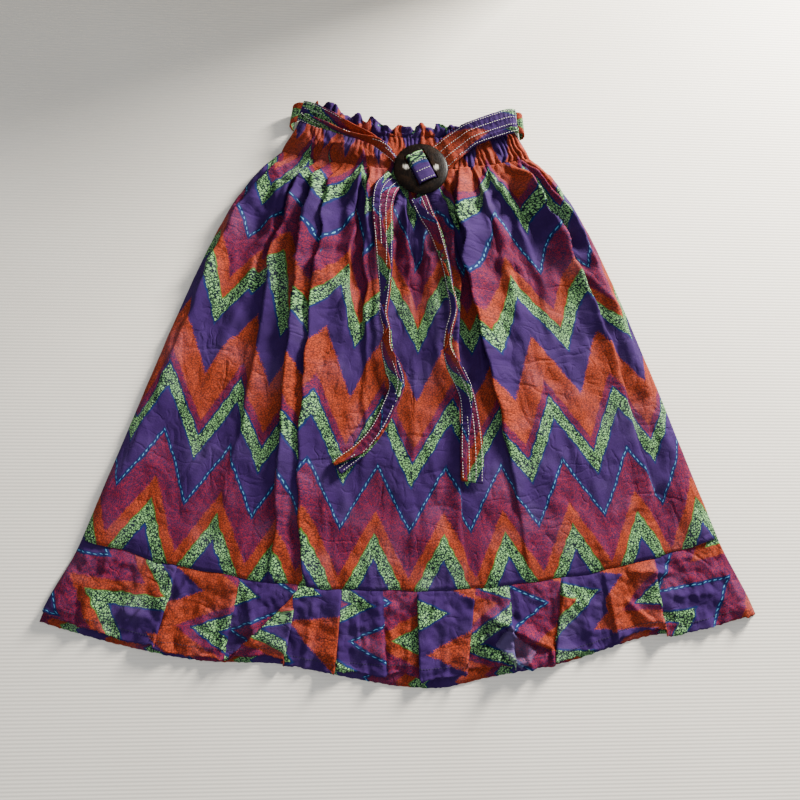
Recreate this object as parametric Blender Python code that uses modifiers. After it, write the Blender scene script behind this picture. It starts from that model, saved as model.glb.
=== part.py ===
"""A gathered batik skirt laid flat: two panels, hem ruffle, elastic waist and buckled belt.

The garment lies on its back on the floor, z = 0, with its waist towards +Y.
Every panel is a fan: lines of the cloth run out from one point above the waist,
so a place on the garment is a radius from that point and an angle, plus to the right.
"""
import math
from collections import namedtuple

import bmesh
import bpy
from mathutils import Vector
from mathutils.bvhtree import BVHTree

# Driving dimensions, in metres and degrees
APEX_Y = 0.862              # the point that the fan's lines run out from
R_FRILL = 0.549             # top of the ruched frill
R_STITCH = 0.562            # stitching under the frill
R_WAIST = 0.606             # seam between waistband and panel
R_RUFFLE = 1.0895           # seam between panel and hem ruffle
R_HEM = 1.171               # free edge of the front ruffle
R_BACK_HEM = 1.180          # free edge of the back ruffle, which shows below the front one
HALF_FAN = 18.2             # half the fan's angle on the lower skirt
WAIST_DRAW = 3.9            # how much the elastic draws that angle in at the waist
DRAW_REACH = 0.055          # how far down the panel most of that pull is gone
FRILL_DRAW = 0.9            # how much narrower still the frill's top is
BAND_DEPTH = 0.05           # the depth over which it narrows
HEM_FLARE = 0.4             # how much wider the ruffle's free edge is
WALL = 0.0012               # cloth wall
BACK_WALL = 0.0014          # back wall, with its pressed gathers
BELT_WALL = 0.0018          # belt, two layers sewn together
BELT_WIDTH = 0.038
GAP = 0.0003                # what touching pieces keep between them
BACK_LIFT = 0.0023          # the back waistband lies over the belt
BACK_SETTLE = 0.06          # how far below the waist the back is down on the floor
FRONT_LIFT = 0.0054         # underside of the front waistband
FRONT_SETTLE = 0.12         # how far below the waist the front is down on the back
PACKED_SPREAD = 0.0085      # how wide a gather is at the waist, where they are packed
PACKED_REACH = 0.10         # how far below the waist it has its own width
RUCHE = 0.0026              # height of the elastic's small ruches
FRILL_RISE = 0.9            # how much higher they stand in the frill, as a share
FRONT_RUCHES = 44
BACK_FRILL_DROP = 0.002     # the back frill ends this much lower
EDGE_ROLL = 0.011           # radius of the side folds
SIDE_PUFF = 0.0045          # how far the side folds stand up
PUFF_INWARD = 0.016         # where they stand highest, in from the edge
PUFF_SPREAD = 0.034         # and how far that reaches
BUCKLE_RADIUS = 0.0325
BUCKLE_HEIGHT = 0.0055
BUCKLE_CENTRE = (0.016, 0.254)
BUCKLE_UNDER = 0.0135       # underside of the buckle, over the belt
BUCKLE_TURN = 26.0          # the belt's direction through the buckle
SLOT_APART = 0.0195         # between the middles of the buckle's two slots
SLOT_SIZE = (0.0065, 0.041)
BUCKLE_SIDES = 36
TAB_FOOT = 0.0010           # the tab's ends are this far up into the slots
BELT_BACK_RADIUS = 0.565    # the belt's back stretch runs round the fan here
BELT_BACK_ANGLE = 13.0      # and this far to either side
ABOVE = 0.2                 # higher than anything in the garment
FEEL_RINGS, FEEL_SPOKES = 4, 16     # where the cloth under a strip of belt is felt
ROWS_CROWD = 1.4            # the back panel's rows crowd towards the waist

# One row a gather: its crest's angle and height in mm at each station, which is a radius of the
# panel; its half width; and which way it leans, from -1 to 1
STATIONS = (0.606, 0.635, 0.700, 0.840, 0.980, 1.0895)
Gather = namedtuple("Gather", "angles heights spread lean")
GATHERS = (
    Gather((-12.9, -13.9, -16.2, -17.0, -17.2, -17.2), (3, 8, 7, 3, 1, 0), 0.014, 0.3),
    Gather((-11.5, -12.0, -13.2, -14.0, -14.3, -14.6), (3, 7, 5, 2, 0, 0), 0.013, -0.2),
    Gather((-10.0, -10.4, -11.6, -11.2, -11.0, -11.0), (3, 9, 7, 4, 1, 1), 0.014, 0.3),
    Gather((-8.5, -8.6, -8.9, -8.6, -7.9, -7.4), (3, 9, 9, 5, 4, 3), 0.010, 0.4),
    Gather((-6.9, -7.2, -7.5, -7.3, -6.6, -5.5), (3, 8, 6, 5, 5, 5), 0.010, 0.5),
    Gather((-5.3, -5.5, -5.6, -5.2, -5.0, -4.9), (3, 9, 5, 1, 0, 1), 0.012, -0.3),
    Gather((-3.7, -3.7, -3.5, -3.0, -2.8, -2.6), (3, 7, 8, 3, 1, 0), 0.012, 0.3),
    Gather((-2.1, -2.1, -2.0, -1.4, -1.2, -1.0), (3, 4, 3, 1, 0, 0), 0.012, 0.0),
    Gather((-0.4, -0.4, -0.2, 0.4, 0.3, 0.2), (3, 4, 5, 2, 1, 1), 0.013, -0.2),
    Gather((1.2, 1.3, 1.7, 2.0, 1.8, 1.8), (3, 4, 5, 1, 1, 0), 0.012, 0.2),
    Gather((2.9, 3.2, 3.9, 3.7, 3.2, 3.0), (3, 4, 7, 4, 3, 1), 0.012, -0.4),
    Gather((4.6, 4.7, 5.1, 5.3, 5.0, 4.8), (3, 7, 3, 1, 0, 1), 0.011, 0.0),
    Gather((6.2, 6.4, 6.2, 6.7, 6.9, 6.8), (3, 9, 10, 7, 2, 1), 0.013, -0.5),
    Gather((7.9, 8.3, 9.0, 9.4, 9.3, 9.0), (3, 8, 4, 1, 1, 1), 0.014, 0.2),
    Gather((9.5, 10.0, 11.4, 12.4, 12.2, 12.0), (3, 7, 4, 1, 0, 1), 0.013, 0.1),
    Gather((11.1, 11.9, 14.0, 15.6, 15.2, 14.6), (3, 9, 8, 3, 1, 1), 0.014, -0.4),
    Gather((12.7, 13.9, 16.3, 17.3, 17.3, 17.2), (3, 8, 6, 3, 1, 0), 0.013, -0.2),
)

# One row a pleat of the hem ruffle: its crest's angle and height in mm at the seam and at the hem,
# its half width and its lean
Pleat = namedtuple("Pleat", "seam hem seam_height hem_height spread lean")
PLEATS = (
    Pleat(-15.8, -16.5, 2, 6, 0.0128, -0.3),
    Pleat(-14.3, -14.8, 1, 3, 0.0112, 0.2),
    Pleat(-11.8, -12.9, 3, 6, 0.0128, 0.5),
    Pleat(-9.9, -10.3, 1, 3, 0.0104, 0.0),
    Pleat(-8.4, -8.0, 2, 6, 0.0112, 0.4),
    Pleat(-6.4, -6.7, 4, 8, 0.0104, -0.5),
    Pleat(-5.1, -5.2, 2, 6, 0.0088, 0.3),
    Pleat(-3.8, -3.5, 3, 6, 0.0096, 0.6),
    Pleat(-2.2, -2.2, 1, 4, 0.0096, -0.2),
    Pleat(-0.9, -0.9, 2, 4, 0.0088, 0.3),
    Pleat(0.7, 0.8, 3, 5, 0.0104, 0.6),
    Pleat(2.0, 1.9, 1, 3, 0.0088, 0.0),
    Pleat(3.5, 2.9, 2, 5, 0.0096, 0.4),
    Pleat(4.9, 4.5, 2, 9, 0.0096, -0.2),
    Pleat(6.0, 6.2, 2, 9, 0.0088, 0.2),
    Pleat(8.2, 7.8, 2, 5, 0.0104, 0.5),
    Pleat(9.8, 9.6, 2, 4, 0.0096, -0.2),
    Pleat(11.2, 11.4, 4, 7, 0.0112, 0.3),
    Pleat(13.4, 13.4, 2, 7, 0.0120, -0.3),
    Pleat(15.6, 16.0, 2, 6, 0.0128, 0.3),
)

# One row a scallop of the hem: angle, and how far the front and the back edge drop past their radius
Scallop = namedtuple("Scallop", "angle front back")
SCALLOPS = (
    Scallop(-18.6, 0.000, -0.001),
    Scallop(-14.2, 0.003, -0.002),
    Scallop(-10.5, 0.000, -0.004),
    Scallop(-6.2, -0.007, -0.012),
    Scallop(-3.0, 0.001, -0.004),
    Scallop(-0.2, 0.002, 0.004),
    Scallop(1.8, 0.002, 0.006),
    Scallop(4.2, 0.001, -0.001),
    Scallop(8.0, 0.000, -0.006),
    Scallop(12.4, -0.011, -0.015),
    Scallop(15.0, -0.002, -0.008),
    Scallop(18.6, 0.000, -0.003),
)

# One row a station of the frill's top: angle, and how far it stands past its radius
FrillTop = namedtuple("FrillTop", "angle past")
FRILL_TOPS = (FrillTop(-13.4, 0.006), FrillTop(-12.0, 0.015), FrillTop(-10.4, 0.016), FrillTop(-8.6, 0.011),
              FrillTop(-6.4, 0.007), FrillTop(-4.4, 0.003), FrillTop(-2.0, -0.002), FrillTop(1.0, 0.0),
              FrillTop(7.0, -0.001), FrillTop(9.2, -0.002), FrillTop(10.6, -0.001), FrillTop(13.4, -0.003))

# One row a station along a strip of belt: its middle, half its width, the way its width runs
# in plan, how far that leans up from flat, and its lift over what it lies on
Strip = namedtuple("Strip", "x y half_width runs leans lift")
BELT_RIGHT = (
    Strip(0.026, 0.262, 0.0175, 116, 0, 0.0006),
    Strip(0.045, 0.275, 0.0170, 118, 3, 0.0012),
    Strip(0.066, 0.291, 0.0150, 121, 14, 0.0020),
    Strip(0.085, 0.300, 0.0140, 119, 22, 0.0034),
    Strip(0.103, 0.308, 0.0140, 114, 26, 0.0042),
    Strip(0.120, 0.315, 0.0140, 108, 26, 0.0042),
    Strip(0.132, 0.318, 0.0135, 100, 20, 0.0030),
)
BELT_LEFT = (
    Strip(0.004, 0.255, 0.0130, 117, 0, 0.0004),
    Strip(-0.012, 0.265, 0.0100, 114, 4, 0.0006),
    Strip(-0.024, 0.276, 0.0085, 112, 26, 0.0034),
    Strip(-0.042, 0.288, 0.0080, 102, 54, 0.0060),
    Strip(-0.066, 0.298, 0.0090, 84, 60, 0.0068),
    Strip(-0.090, 0.307, 0.0110, 68, 44, 0.0064),
    Strip(-0.110, 0.316, 0.0125, 61, 30, 0.0050),
    Strip(-0.127, 0.323, 0.0120, 66, 20, 0.0032),
)
TAIL_LEFT = (
    Strip(-0.0155, 0.241, 0.0120, -53, 0, 0.0004),
    Strip(-0.0250, 0.225, 0.0135, -22, 4, 0.0020),
    Strip(-0.0290, 0.200, 0.0125, 4, 6, 0.0024),
    Strip(-0.0275, 0.165, 0.0115, 3, 8, 0.0024),
    Strip(-0.0260, 0.130, 0.0100, 3, 16, 0.0022),
    Strip(-0.0255, 0.100, 0.0085, 2, 30, 0.0036),
    Strip(-0.027, 0.075, 0.0060, 0, 62, 0.0058),
    Strip(-0.023, 0.056, 0.0055, -2, 66, 0.0060),
    Strip(-0.023, 0.035, 0.0085, 12, 40, 0.0045),
    Strip(-0.016, 0.012, 0.0090, 14, 36, 0.0042),
    Strip(-0.012, -0.008, 0.0085, -2, 40, 0.0045),
    Strip(-0.020, -0.031, 0.0075, -28, 50, 0.0050),
    Strip(-0.033, -0.057, 0.0070, -38, 54, 0.0052),
    Strip(-0.050, -0.078, 0.0075, -46, 46, 0.0045),
    Strip(-0.077, -0.099, 0.0090, -52, 20, 0.0020),
)
TAIL_RIGHT = (
    Strip(0.013, 0.217, 0.0100, 20, 8, 0.0010),
    Strip(0.022, 0.192, 0.0085, 26, 34, 0.0034),
    Strip(0.033, 0.170, 0.0075, 24, 48, 0.0044),
    Strip(0.042, 0.140, 0.0065, 15, 58, 0.0050),
    Strip(0.048, 0.105, 0.0060, 9, 64, 0.0054),
    Strip(0.052, 0.078, 0.0060, 0, 64, 0.0054),
    Strip(0.045, 0.056, 0.0065, -16, 56, 0.0048),
    Strip(0.043, 0.036, 0.0070, 2, 48, 0.0046),
    Strip(0.051, 0.016, 0.0090, 22, 34, 0.0040),
    Strip(0.060, -0.004, 0.0075, 22, 46, 0.0046),
    Strip(0.065, -0.022, 0.0075, 12, 40, 0.0042),
    Strip(0.067, -0.050, 0.0125, 4, 12, 0.0018),
    Strip(0.066, -0.080, 0.0135, -4, 4, 0.0010),
    Strip(0.062, -0.108, 0.0130, -8, 0, 0.0006),
)

# One row a station of each side turn, from the front stretch down past the waistband to the floor
Turn = namedtuple("Turn", "x y z runs leans")
TURN_RIGHT = (
    Turn(0.1330, 0.3180, 0.0150, 100, 20),
    Turn(0.1375, 0.3175, 0.0146, 98, 16),
    Turn(0.1402, 0.3170, 0.0118, 97, 10),
    Turn(0.1410, 0.3165, 0.0080, 96, 4),
    Turn(0.1402, 0.3160, 0.0040, 96, 0),
    Turn(0.1375, 0.3160, 0.0013, 96, 0),
)
TURN_LEFT = (
    Turn(-0.1276, 0.3233, 0.0150, 66, 20),
    Turn(-0.1340, 0.3230, 0.0144, 74, 16),
    Turn(-0.1382, 0.3220, 0.0118, 80, 10),
    Turn(-0.1394, 0.3210, 0.0080, 82, 4),
    Turn(-0.1384, 0.3200, 0.0040, 84, 0),
    Turn(-0.1362, 0.3190, 0.0013, 84, 0),
)
TURN_HALF_WIDTH = 0.0120

# The tab of belt over the buckle's bar, one row a station: along the belt as a share of the way to
# a slot's middle, and how far below its crown in mm; the ends go down to the tab's foot
TabStep = namedtuple("TabStep", "along drop")
TAB_STEPS = (TabStep(-1, 2.6), TabStep(-0.93, 0.9), TabStep(-0.74, 0), TabStep(0, 0),
             TabStep(0.74, 0), TabStep(0.93, 0.9), TabStep(1, 2.6))

# Half the buckle's section from its crown round to its underside: shares of its radius and height
BUCKLE_SECTION = ((0.0, 1.0), (0.30, 0.97), (0.58, 0.87), (0.80, 0.70), (0.93, 0.50), (1.0, 0.28),
                  (0.985, 0.10), (0.94, 0.0), (0.0, 0.0))

# Radii of the grid rows, closer together where the cloth bends more
PANEL_RADII = (R_WAIST + GAP, 0.612, 0.621, 0.634, 0.652, 0.676, 0.706, 0.742, 0.784,
               0.830, 0.880, 0.930, 0.980, 1.030, 1.065, R_RUFFLE - GAP)
BAND_RADII = (R_FRILL, 0.555, R_STITCH, 0.584, R_WAIST - GAP)

# Colours, linear RGB
VIOLET = (0.085, 0.040, 0.200, 1)
ORANGE = (0.560, 0.075, 0.012, 1)
MULBERRY = (0.230, 0.030, 0.075, 1)
MINT = (0.270, 0.560, 0.240, 1)
SHELL_BROWN = (0.022, 0.012, 0.008, 1)
COTTON_ROUGHNESS, SHELL_ROUGHNESS = 0.75, 0.32


def smooth(t):
    t = min(max(t, 0.0), 1.0)
    return t * t * (3 - 2 * t)


def through(x, knots, values):
    """A smooth curve through a row's values, flat past its ends."""
    if x <= knots[0]:
        return values[0]
    if x >= knots[-1]:
        return values[-1]
    last = len(knots) - 1
    i = max(k for k in range(last) if knots[k] <= x)

    def slope(k):
        a, b = max(k - 1, 0), min(k + 1, last)
        return (values[b] - values[a]) / (knots[b] - knots[a])

    step = knots[i + 1] - knots[i]
    t = (x - knots[i]) / step
    rise = values[i + 1] - values[i]
    m0, m1 = slope(i) * step, slope(i + 1) * step
    return values[i] + t * (m0 + t * (3 * rise - 2 * m0 - m1 + t * (m0 + m1 - 2 * rise)))


def fan(radius, angle):
    a = math.radians(angle)
    return radius * math.sin(a), APEX_Y - radius * math.cos(a)


def side_angle(radius):
    """Half the garment's angle at a radius: drawn in at the waist, full below the hips."""
    drawn = WAIST_DRAW * math.exp(-max(radius - R_WAIST, 0) / DRAW_REACH)
    frill = FRILL_DRAW * smooth((R_WAIST - radius) / BAND_DEPTH)
    flare = HEM_FLARE * smooth((radius - R_RUFFLE) / (R_HEM - R_RUFFLE))
    return HALF_FAN - drawn - frill + flare


def back_under(radius):
    """Underside of the back layer: on the floor, but for the waist, which lies over the belt."""
    return BACK_LIFT * (1 - smooth((radius - R_WAIST) / BACK_SETTLE))


def front_under(radius):
    """Underside of the front layer between its gathers."""
    flat = BACK_WALL + GAP
    return flat + (FRONT_LIFT - flat) * (1 - smooth((radius - R_WAIST) / FRONT_SETTLE))


def ridge(offset, spread, lean):
    """Height share of a fold whose sides are drawn out unevenly by its lean."""
    side = spread * (1 - lean if offset < 0 else 1 + lean)
    t = min(abs(offset) / side, 1.0)
    return math.cos(t * math.pi / 2) ** 2


def gather_height(radius, angle):
    """Highest gather over a place on the front panel."""
    best = 0.0
    loose = smooth((radius - R_WAIST) / PACKED_REACH)
    for row in GATHERS:
        crest = through(radius, STATIONS, row.angles)
        height = max(through(radius, STATIONS, row.heights), 0) / 1000
        spread = PACKED_SPREAD + (row.spread - PACKED_SPREAD) * loose
        offset = math.radians(angle - crest) * radius
        best = max(best, height * ridge(offset, spread, row.lean))
    return best


def side_roll(radius, angle, body, seat):
    """Lets a front layer round over at its side fold, down to the back layer."""
    inward = math.radians(side_angle(radius) - abs(angle)) * radius
    off_crest = min(abs(inward - PUFF_INWARD) / PUFF_SPREAD, 1)
    loose = smooth((radius - R_WAIST) / PUFF_SPREAD)
    body += SIDE_PUFF * loose * math.cos(off_crest * math.pi / 2) ** 2
    if inward >= EDGE_ROLL:
        return body
    outward = 1 - max(inward, 0) / EDGE_ROLL
    return seat + (body - seat) * math.sqrt(1 - outward * outward)


def panel_place(radius, angle):
    body = front_under(radius) + gather_height(radius, angle)
    seat = back_under(radius) + BACK_WALL + GAP
    return (*fan(radius, angle), side_roll(radius, angle, body, seat))


def ruffle_height(radius, angle):
    """Underside of the front ruffle: its pleats open out from the seam to the free edge."""
    share = (radius - R_RUFFLE) / (R_HEM - R_RUFFLE)
    best = 0.0
    for row in PLEATS:
        crest = row.seam + (row.hem - row.seam) * share
        height = (row.seam_height + (row.hem_height - row.seam_height) * share) / 1000
        offset = math.radians(angle - crest) * radius
        best = max(best, height * ridge(offset, row.spread, row.lean))
    seat = BACK_WALL + GAP
    return side_roll(radius, angle, seat + best, seat)


def waistband_place(radius, angle):
    """The front casing: fine ruches over the elastic and a looser frill above it."""
    half = side_angle(radius)
    wave = 0.5 - 0.5 * math.cos(math.pi * FRONT_RUCHES * (1 + angle / half))
    frill = smooth((R_STITCH - radius) / (R_STITCH - R_FRILL))
    height = RUCHE * (1 + FRILL_RISE * frill) * wave
    seat = BACK_LIFT + BACK_WALL + GAP
    top = through(angle, [row.angle for row in FRILL_TOPS], [row.past for row in FRILL_TOPS])
    return (*fan(radius - frill * top, angle), side_roll(radius, angle, FRONT_LIFT + height, seat))


def between(crests, share, half):
    """Angle of a grid column, with the crests on grid lines."""
    knots = [-half, *crests, half]
    place = share * (len(knots) - 1)
    i = min(int(place + 1e-6), len(knots) - 2)
    return knots[i] + (knots[i + 1] - knots[i]) * (place - i)


def material(name, colour, roughness):
    skin = bpy.data.materials.new(name)
    skin.use_nodes = True
    shader = skin.node_tree.nodes["Principled BSDF"]
    shader.inputs["Base Color"].default_value = colour
    shader.inputs["Roughness"].default_value = roughness
    shader.inputs["Metallic"].default_value = 0.0
    return skin


def finish(name, mesh, skin, collection):
    piece = bpy.data.objects.new(name, mesh)
    collection.objects.link(piece)
    mesh.materials.append(skin)
    mesh.shade_smooth()
    return piece


def sheet(name, columns, rows, place, wall, skin, collection, out=1.0):
    """A grid of cloth, laid by a function of its two shares; its wall is outside it, or about it at 0."""
    grid = bmesh.new()
    bmesh.ops.create_grid(grid, x_segments=columns, y_segments=rows, size=0.5)
    for vert in grid.verts:
        vert.co = Vector(place(vert.co.x + 0.5, 0.5 - vert.co.y))
    mesh = bpy.data.meshes.new(name)
    grid.to_mesh(mesh)
    grid.free()
    piece = finish(name, mesh, skin, collection)
    wall_maker = piece.modifiers.new("Wall", "SOLIDIFY")
    wall_maker.thickness = wall
    wall_maker.offset = out
    return piece


def front_panel(skin, collection):
    """The gathered front, from the waist seam to the ruffle seam."""
    columns, rows = 5 * (len(GATHERS) + 1), len(PANEL_RADII) - 1

    def place(across, down):
        radius = PANEL_RADII[round(down * rows)]
        crests = [through(radius, STATIONS, row.angles) for row in GATHERS]
        return panel_place(radius, between(crests, across, side_angle(radius)))

    return sheet("front_panel", columns, rows, place, WALL, skin, collection)


def back_panel(skin, collection):
    """The back, pressed flat on the floor under the front."""
    def place(across, down):
        radius = R_WAIST + GAP + (R_RUFFLE - R_WAIST - 2 * GAP) * down ** ROWS_CROWD
        return (*fan(radius, side_angle(radius) * (2 * across - 1)), back_under(radius))

    return sheet("back_panel", 14, 12, place, BACK_WALL, skin, collection)


def scallop(angle, edge):
    return through(angle, [row.angle for row in SCALLOPS], [getattr(row, edge) for row in SCALLOPS])


def front_ruffle(skin, collection):
    columns = 4 * (len(PLEATS) + 1)

    def place(across, down):
        radius = R_RUFFLE + GAP + (R_HEM - R_RUFFLE - GAP) * down
        crests = [row.seam + (row.hem - row.seam) * down for row in PLEATS]
        angle = between(crests, across, side_angle(radius))
        z = ruffle_height(radius, angle)
        return (*fan(radius + scallop(angle, "front") * down ** 2, angle), z)

    return sheet("ruffle_front", columns, 4, place, WALL, skin, collection)


def back_ruffle(skin, collection):
    def place(across, down):
        radius = R_RUFFLE + GAP + (R_BACK_HEM - R_RUFFLE - GAP) * down
        angle = side_angle(radius) * (2 * across - 1)
        return (*fan(radius + scallop(angle, "back") * down ** 2, angle), 0.0)

    return sheet("ruffle_back", 48, 3, place, BACK_WALL, skin, collection)


def front_waistband(skin, collection):
    columns, rows = 4 * FRONT_RUCHES, len(BAND_RADII) - 1

    def place(across, down):
        radius = BAND_RADII[round(down * rows)]
        return waistband_place(radius, side_angle(radius) * (2 * across - 1))

    return sheet("waistband_front", columns, rows, place, WALL, skin, collection)


def back_waistband(skin, collection):
    """The back casing, pressed flat under the front one, over the belt."""
    top = R_FRILL + BACK_FRILL_DROP

    def place(across, down):
        radius = top + (R_WAIST - GAP - top) * down
        return (*fan(radius, side_angle(radius) * (2 * across - 1)), BACK_LIFT)

    return sheet("waistband_back", 24, 2, place, BACK_WALL, skin, collection)


def tree_of(piece):
    bpy.context.view_layer.update()
    return BVHTree.FromObject(piece, bpy.context.evaluated_depsgraph_get())


def highest(trees, x, y, reach):
    """Top of the cloth round a place, as stiff cloth that lies there feels it."""
    top = 0.0
    for ring in range(FEEL_RINGS + 1):
        for spoke in range(FEEL_SPOKES):
            turn = math.tau * spoke / FEEL_SPOKES
            dx, dy = (reach * ring / FEEL_RINGS * part for part in (math.cos(turn), math.sin(turn)))
            for tree in trees:
                hit = tree.ray_cast(Vector((x + dx, y + dy, ABOVE)), Vector((0, 0, -1)))[0]
                if hit is not None:
                    top = max(top, hit.z)
    return top


def strip_place(table, under, along, across):
    """A place on a strip of belt; across runs from -1 to 1 over its width."""
    knots = [k / (len(table) - 1) for k in range(len(table))]
    x, y, half, runs, leans, lift = (through(along, knots, column) for column in zip(*table))
    plan = half * math.cos(math.radians(leans))
    rise = half * math.sin(math.radians(leans))
    a = math.radians(runs)
    px, py = x + across * plan * math.cos(a), y + across * plan * math.sin(a)
    seat = highest(under, x, y, half + 0.002)
    return px, py, seat + GAP + BELT_WALL / 2 + max(lift, rise) + across * rise


def belt_stretch(name, table, under, stations, skin, collection):
    def place(along, across):
        return strip_place(table, under, along, 2 * across - 1)

    return sheet(name, stations, 2, place, BELT_WALL, skin, collection, out=0.0)


def belt_turn(name, table, skin, collection):
    """Where the belt rounds the waist's side and goes under the back."""
    def place(along, across):
        knots = [k / (len(table) - 1) for k in range(len(table))]
        x, y, z, runs, leans = (through(along, knots, column) for column in zip(*table))
        a, lean = math.radians(runs), math.radians(leans)
        reach = TURN_HALF_WIDTH * (2 * across - 1)
        plan = reach * math.cos(lean)
        return x + plan * math.cos(a), y + plan * math.sin(a), z + reach * math.sin(lean)

    return sheet(name, 10, 2, place, BELT_WALL, skin, collection, out=0.0)


def belt_back(skin, collection):
    """The belt's back stretch, flat on the floor under the waistband."""
    def place(along, across):
        radius = BELT_BACK_RADIUS + TURN_HALF_WIDTH * (2 * across - 1)
        return (*fan(radius, BELT_BACK_ANGLE * (2 * along - 1)), 0.0)

    return sheet("belt_back", 18, 1, place, BELT_WALL, skin, collection)


def along_belt(offset):
    """A place at a distance from the buckle's middle, along the belt that runs through it."""
    a = math.radians(BUCKLE_TURN)
    return BUCKLE_CENTRE[0] + offset * math.cos(a), BUCKLE_CENTRE[1] + offset * math.sin(a)


def buckle(skin, collection, cutters):
    """A domed disc of coconut shell with two slots, and the bar between them."""
    profile = bmesh.new()
    points = [profile.verts.new((BUCKLE_RADIUS * r, 0, BUCKLE_HEIGHT * h)) for r, h in BUCKLE_SECTION]
    for top, below in zip(points, points[1:]):
        profile.edges.new((top, below))
    mesh = bpy.data.meshes.new("buckle")
    profile.to_mesh(mesh)
    profile.free()
    disc = finish("buckle", mesh, skin, collection)
    disc.location = (*BUCKLE_CENTRE, BUCKLE_UNDER)
    disc.rotation_euler.z = math.radians(BUCKLE_TURN)
    turn = disc.modifiers.new("Turned", "SCREW")
    turn.steps = turn.render_steps = BUCKLE_SIDES
    turn.use_merge_vertices = True
    turn.merge_threshold = 0.00001
    for side in (-1, 1):
        bpy.ops.mesh.primitive_cube_add(size=1)
        slot = bpy.context.object
        slot.name = "slot_cutter"
        slot.scale = (*SLOT_SIZE, 4 * BUCKLE_HEIGHT)
        slot.location = (*along_belt(side * SLOT_APART / 2), BUCKLE_UNDER)
        slot.rotation_euler.z = math.radians(BUCKLE_TURN)
        slot.hide_render = True
        slot.display_type = "WIRE"
        for home in slot.users_collection:
            home.objects.unlink(slot)
        cutters.objects.link(slot)
        cut = disc.modifiers.new("Slot", "BOOLEAN")
        cut.operation = "DIFFERENCE"
        cut.object = slot
    return disc


def belt_tab(skin, collection):
    """The belt where it comes up through one slot, over the bar and down the other."""
    crown = BUCKLE_UNDER + BUCKLE_HEIGHT + GAP + BELT_WALL / 2
    foot = BUCKLE_UNDER + TAB_FOOT
    reach_in = SLOT_APART / 2
    over = [(row.along * reach_in, crown - row.drop / 1000) for row in TAB_STEPS]
    steps = [(-reach_in, foot), *over, (reach_in, foot)]
    side = math.radians(BUCKLE_TURN + 90)

    def place(along, across):
        offset, z = steps[round(along * (len(steps) - 1))]
        x, y = along_belt(offset)
        reach = BELT_WIDTH * (across - 0.5)
        return x + reach * math.cos(side), y + reach * math.sin(side), z

    return sheet("belt_tab", len(steps) - 1, 1, place, BELT_WALL, skin, collection, out=0.0)


def main():
    for old in list(bpy.data.objects):
        bpy.data.objects.remove(old)
    skirt = bpy.data.collections.new("batik_skirt")
    cutters = bpy.data.collections.new("cutters")
    for collection in (skirt, cutters):
        bpy.context.scene.collection.children.link(collection)

    violet = material("violet cotton", VIOLET, COTTON_ROUGHNESS)
    orange = material("orange cotton", ORANGE, COTTON_ROUGHNESS)
    mulberry = material("mulberry cotton", MULBERRY, COTTON_ROUGHNESS)
    mint = material("mint cotton", MINT, COTTON_ROUGHNESS)
    shell = material("coconut shell", SHELL_BROWN, SHELL_ROUGHNESS)

    back_panel(mulberry, skirt)
    back_ruffle(violet, skirt)
    back_waistband(orange, skirt)
    panel = front_panel(violet, skirt)
    front_ruffle(orange, skirt)
    band = front_waistband(mulberry, skirt)
    belt_back(violet, skirt)

    under = [tree_of(panel), tree_of(band)]
    belt_stretch("belt_right", BELT_RIGHT, under, 18, orange, skirt)
    belt_stretch("belt_left", BELT_LEFT, under, 20, orange, skirt)
    belt_turn("belt_side_right", TURN_RIGHT, orange, skirt)
    belt_turn("belt_side_left", TURN_LEFT, orange, skirt)
    belt_stretch("belt_tail_left", TAIL_LEFT, under, 34, mint, skirt)
    belt_stretch("belt_tail_right", TAIL_RIGHT, under, 34, mint, skirt)
    belt_tab(mint, skirt)
    buckle(shell, skirt, cutters)


main()
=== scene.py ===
"""Looks of the gathered batik skirt: printed cotton shells, topstitching, shell buckle and light."""
import math
from collections import namedtuple

import bmesh
import bpy
import numpy as np
from mathutils import Matrix, Vector, noise
from mathutils.bvhtree import BVHTree


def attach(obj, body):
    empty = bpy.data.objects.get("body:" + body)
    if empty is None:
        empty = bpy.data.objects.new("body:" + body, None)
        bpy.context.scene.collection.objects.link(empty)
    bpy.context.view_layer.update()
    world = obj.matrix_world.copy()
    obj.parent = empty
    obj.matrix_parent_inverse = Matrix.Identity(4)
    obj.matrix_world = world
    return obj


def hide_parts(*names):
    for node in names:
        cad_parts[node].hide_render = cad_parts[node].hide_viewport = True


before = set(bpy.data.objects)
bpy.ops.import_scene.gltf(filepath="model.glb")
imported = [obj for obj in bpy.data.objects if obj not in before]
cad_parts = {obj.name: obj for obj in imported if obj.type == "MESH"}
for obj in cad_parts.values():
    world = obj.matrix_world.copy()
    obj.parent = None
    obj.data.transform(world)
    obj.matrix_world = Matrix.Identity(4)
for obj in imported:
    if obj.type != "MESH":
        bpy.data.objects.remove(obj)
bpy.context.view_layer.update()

# Camera: a phone held over the skirt, tipped a little towards its hem and its left
LENS_MM, SENSOR_MM = 28.0, 36.0
AIM = Vector((-0.008, -0.022, 0.0))
CAMERA_DISTANCE = 0.6969
CAMERA_TILT, CAMERA_TURN = math.radians(11.2), math.radians(14.2)


def make_camera():
    back = Vector((-math.sin(CAMERA_TILT) * math.sin(CAMERA_TURN),
                   -math.sin(CAMERA_TILT) * math.cos(CAMERA_TURN), math.cos(CAMERA_TILT)))
    right = (-back).cross(Vector((0, 1, 0))).normalized()
    up = right.cross(-back)
    data = bpy.data.cameras.new("camera")
    data.lens, data.sensor_width, data.clip_start = LENS_MM, SENSOR_MM, 0.01
    camera = bpy.data.objects.new("camera", data)
    turn = Matrix((right, up, back)).transposed().to_4x4()
    camera.matrix_world = Matrix.Translation(AIM + back * CAMERA_DISTANCE) @ turn
    bpy.context.scene.collection.objects.link(camera)
    bpy.context.scene.camera = camera


make_camera()

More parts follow.
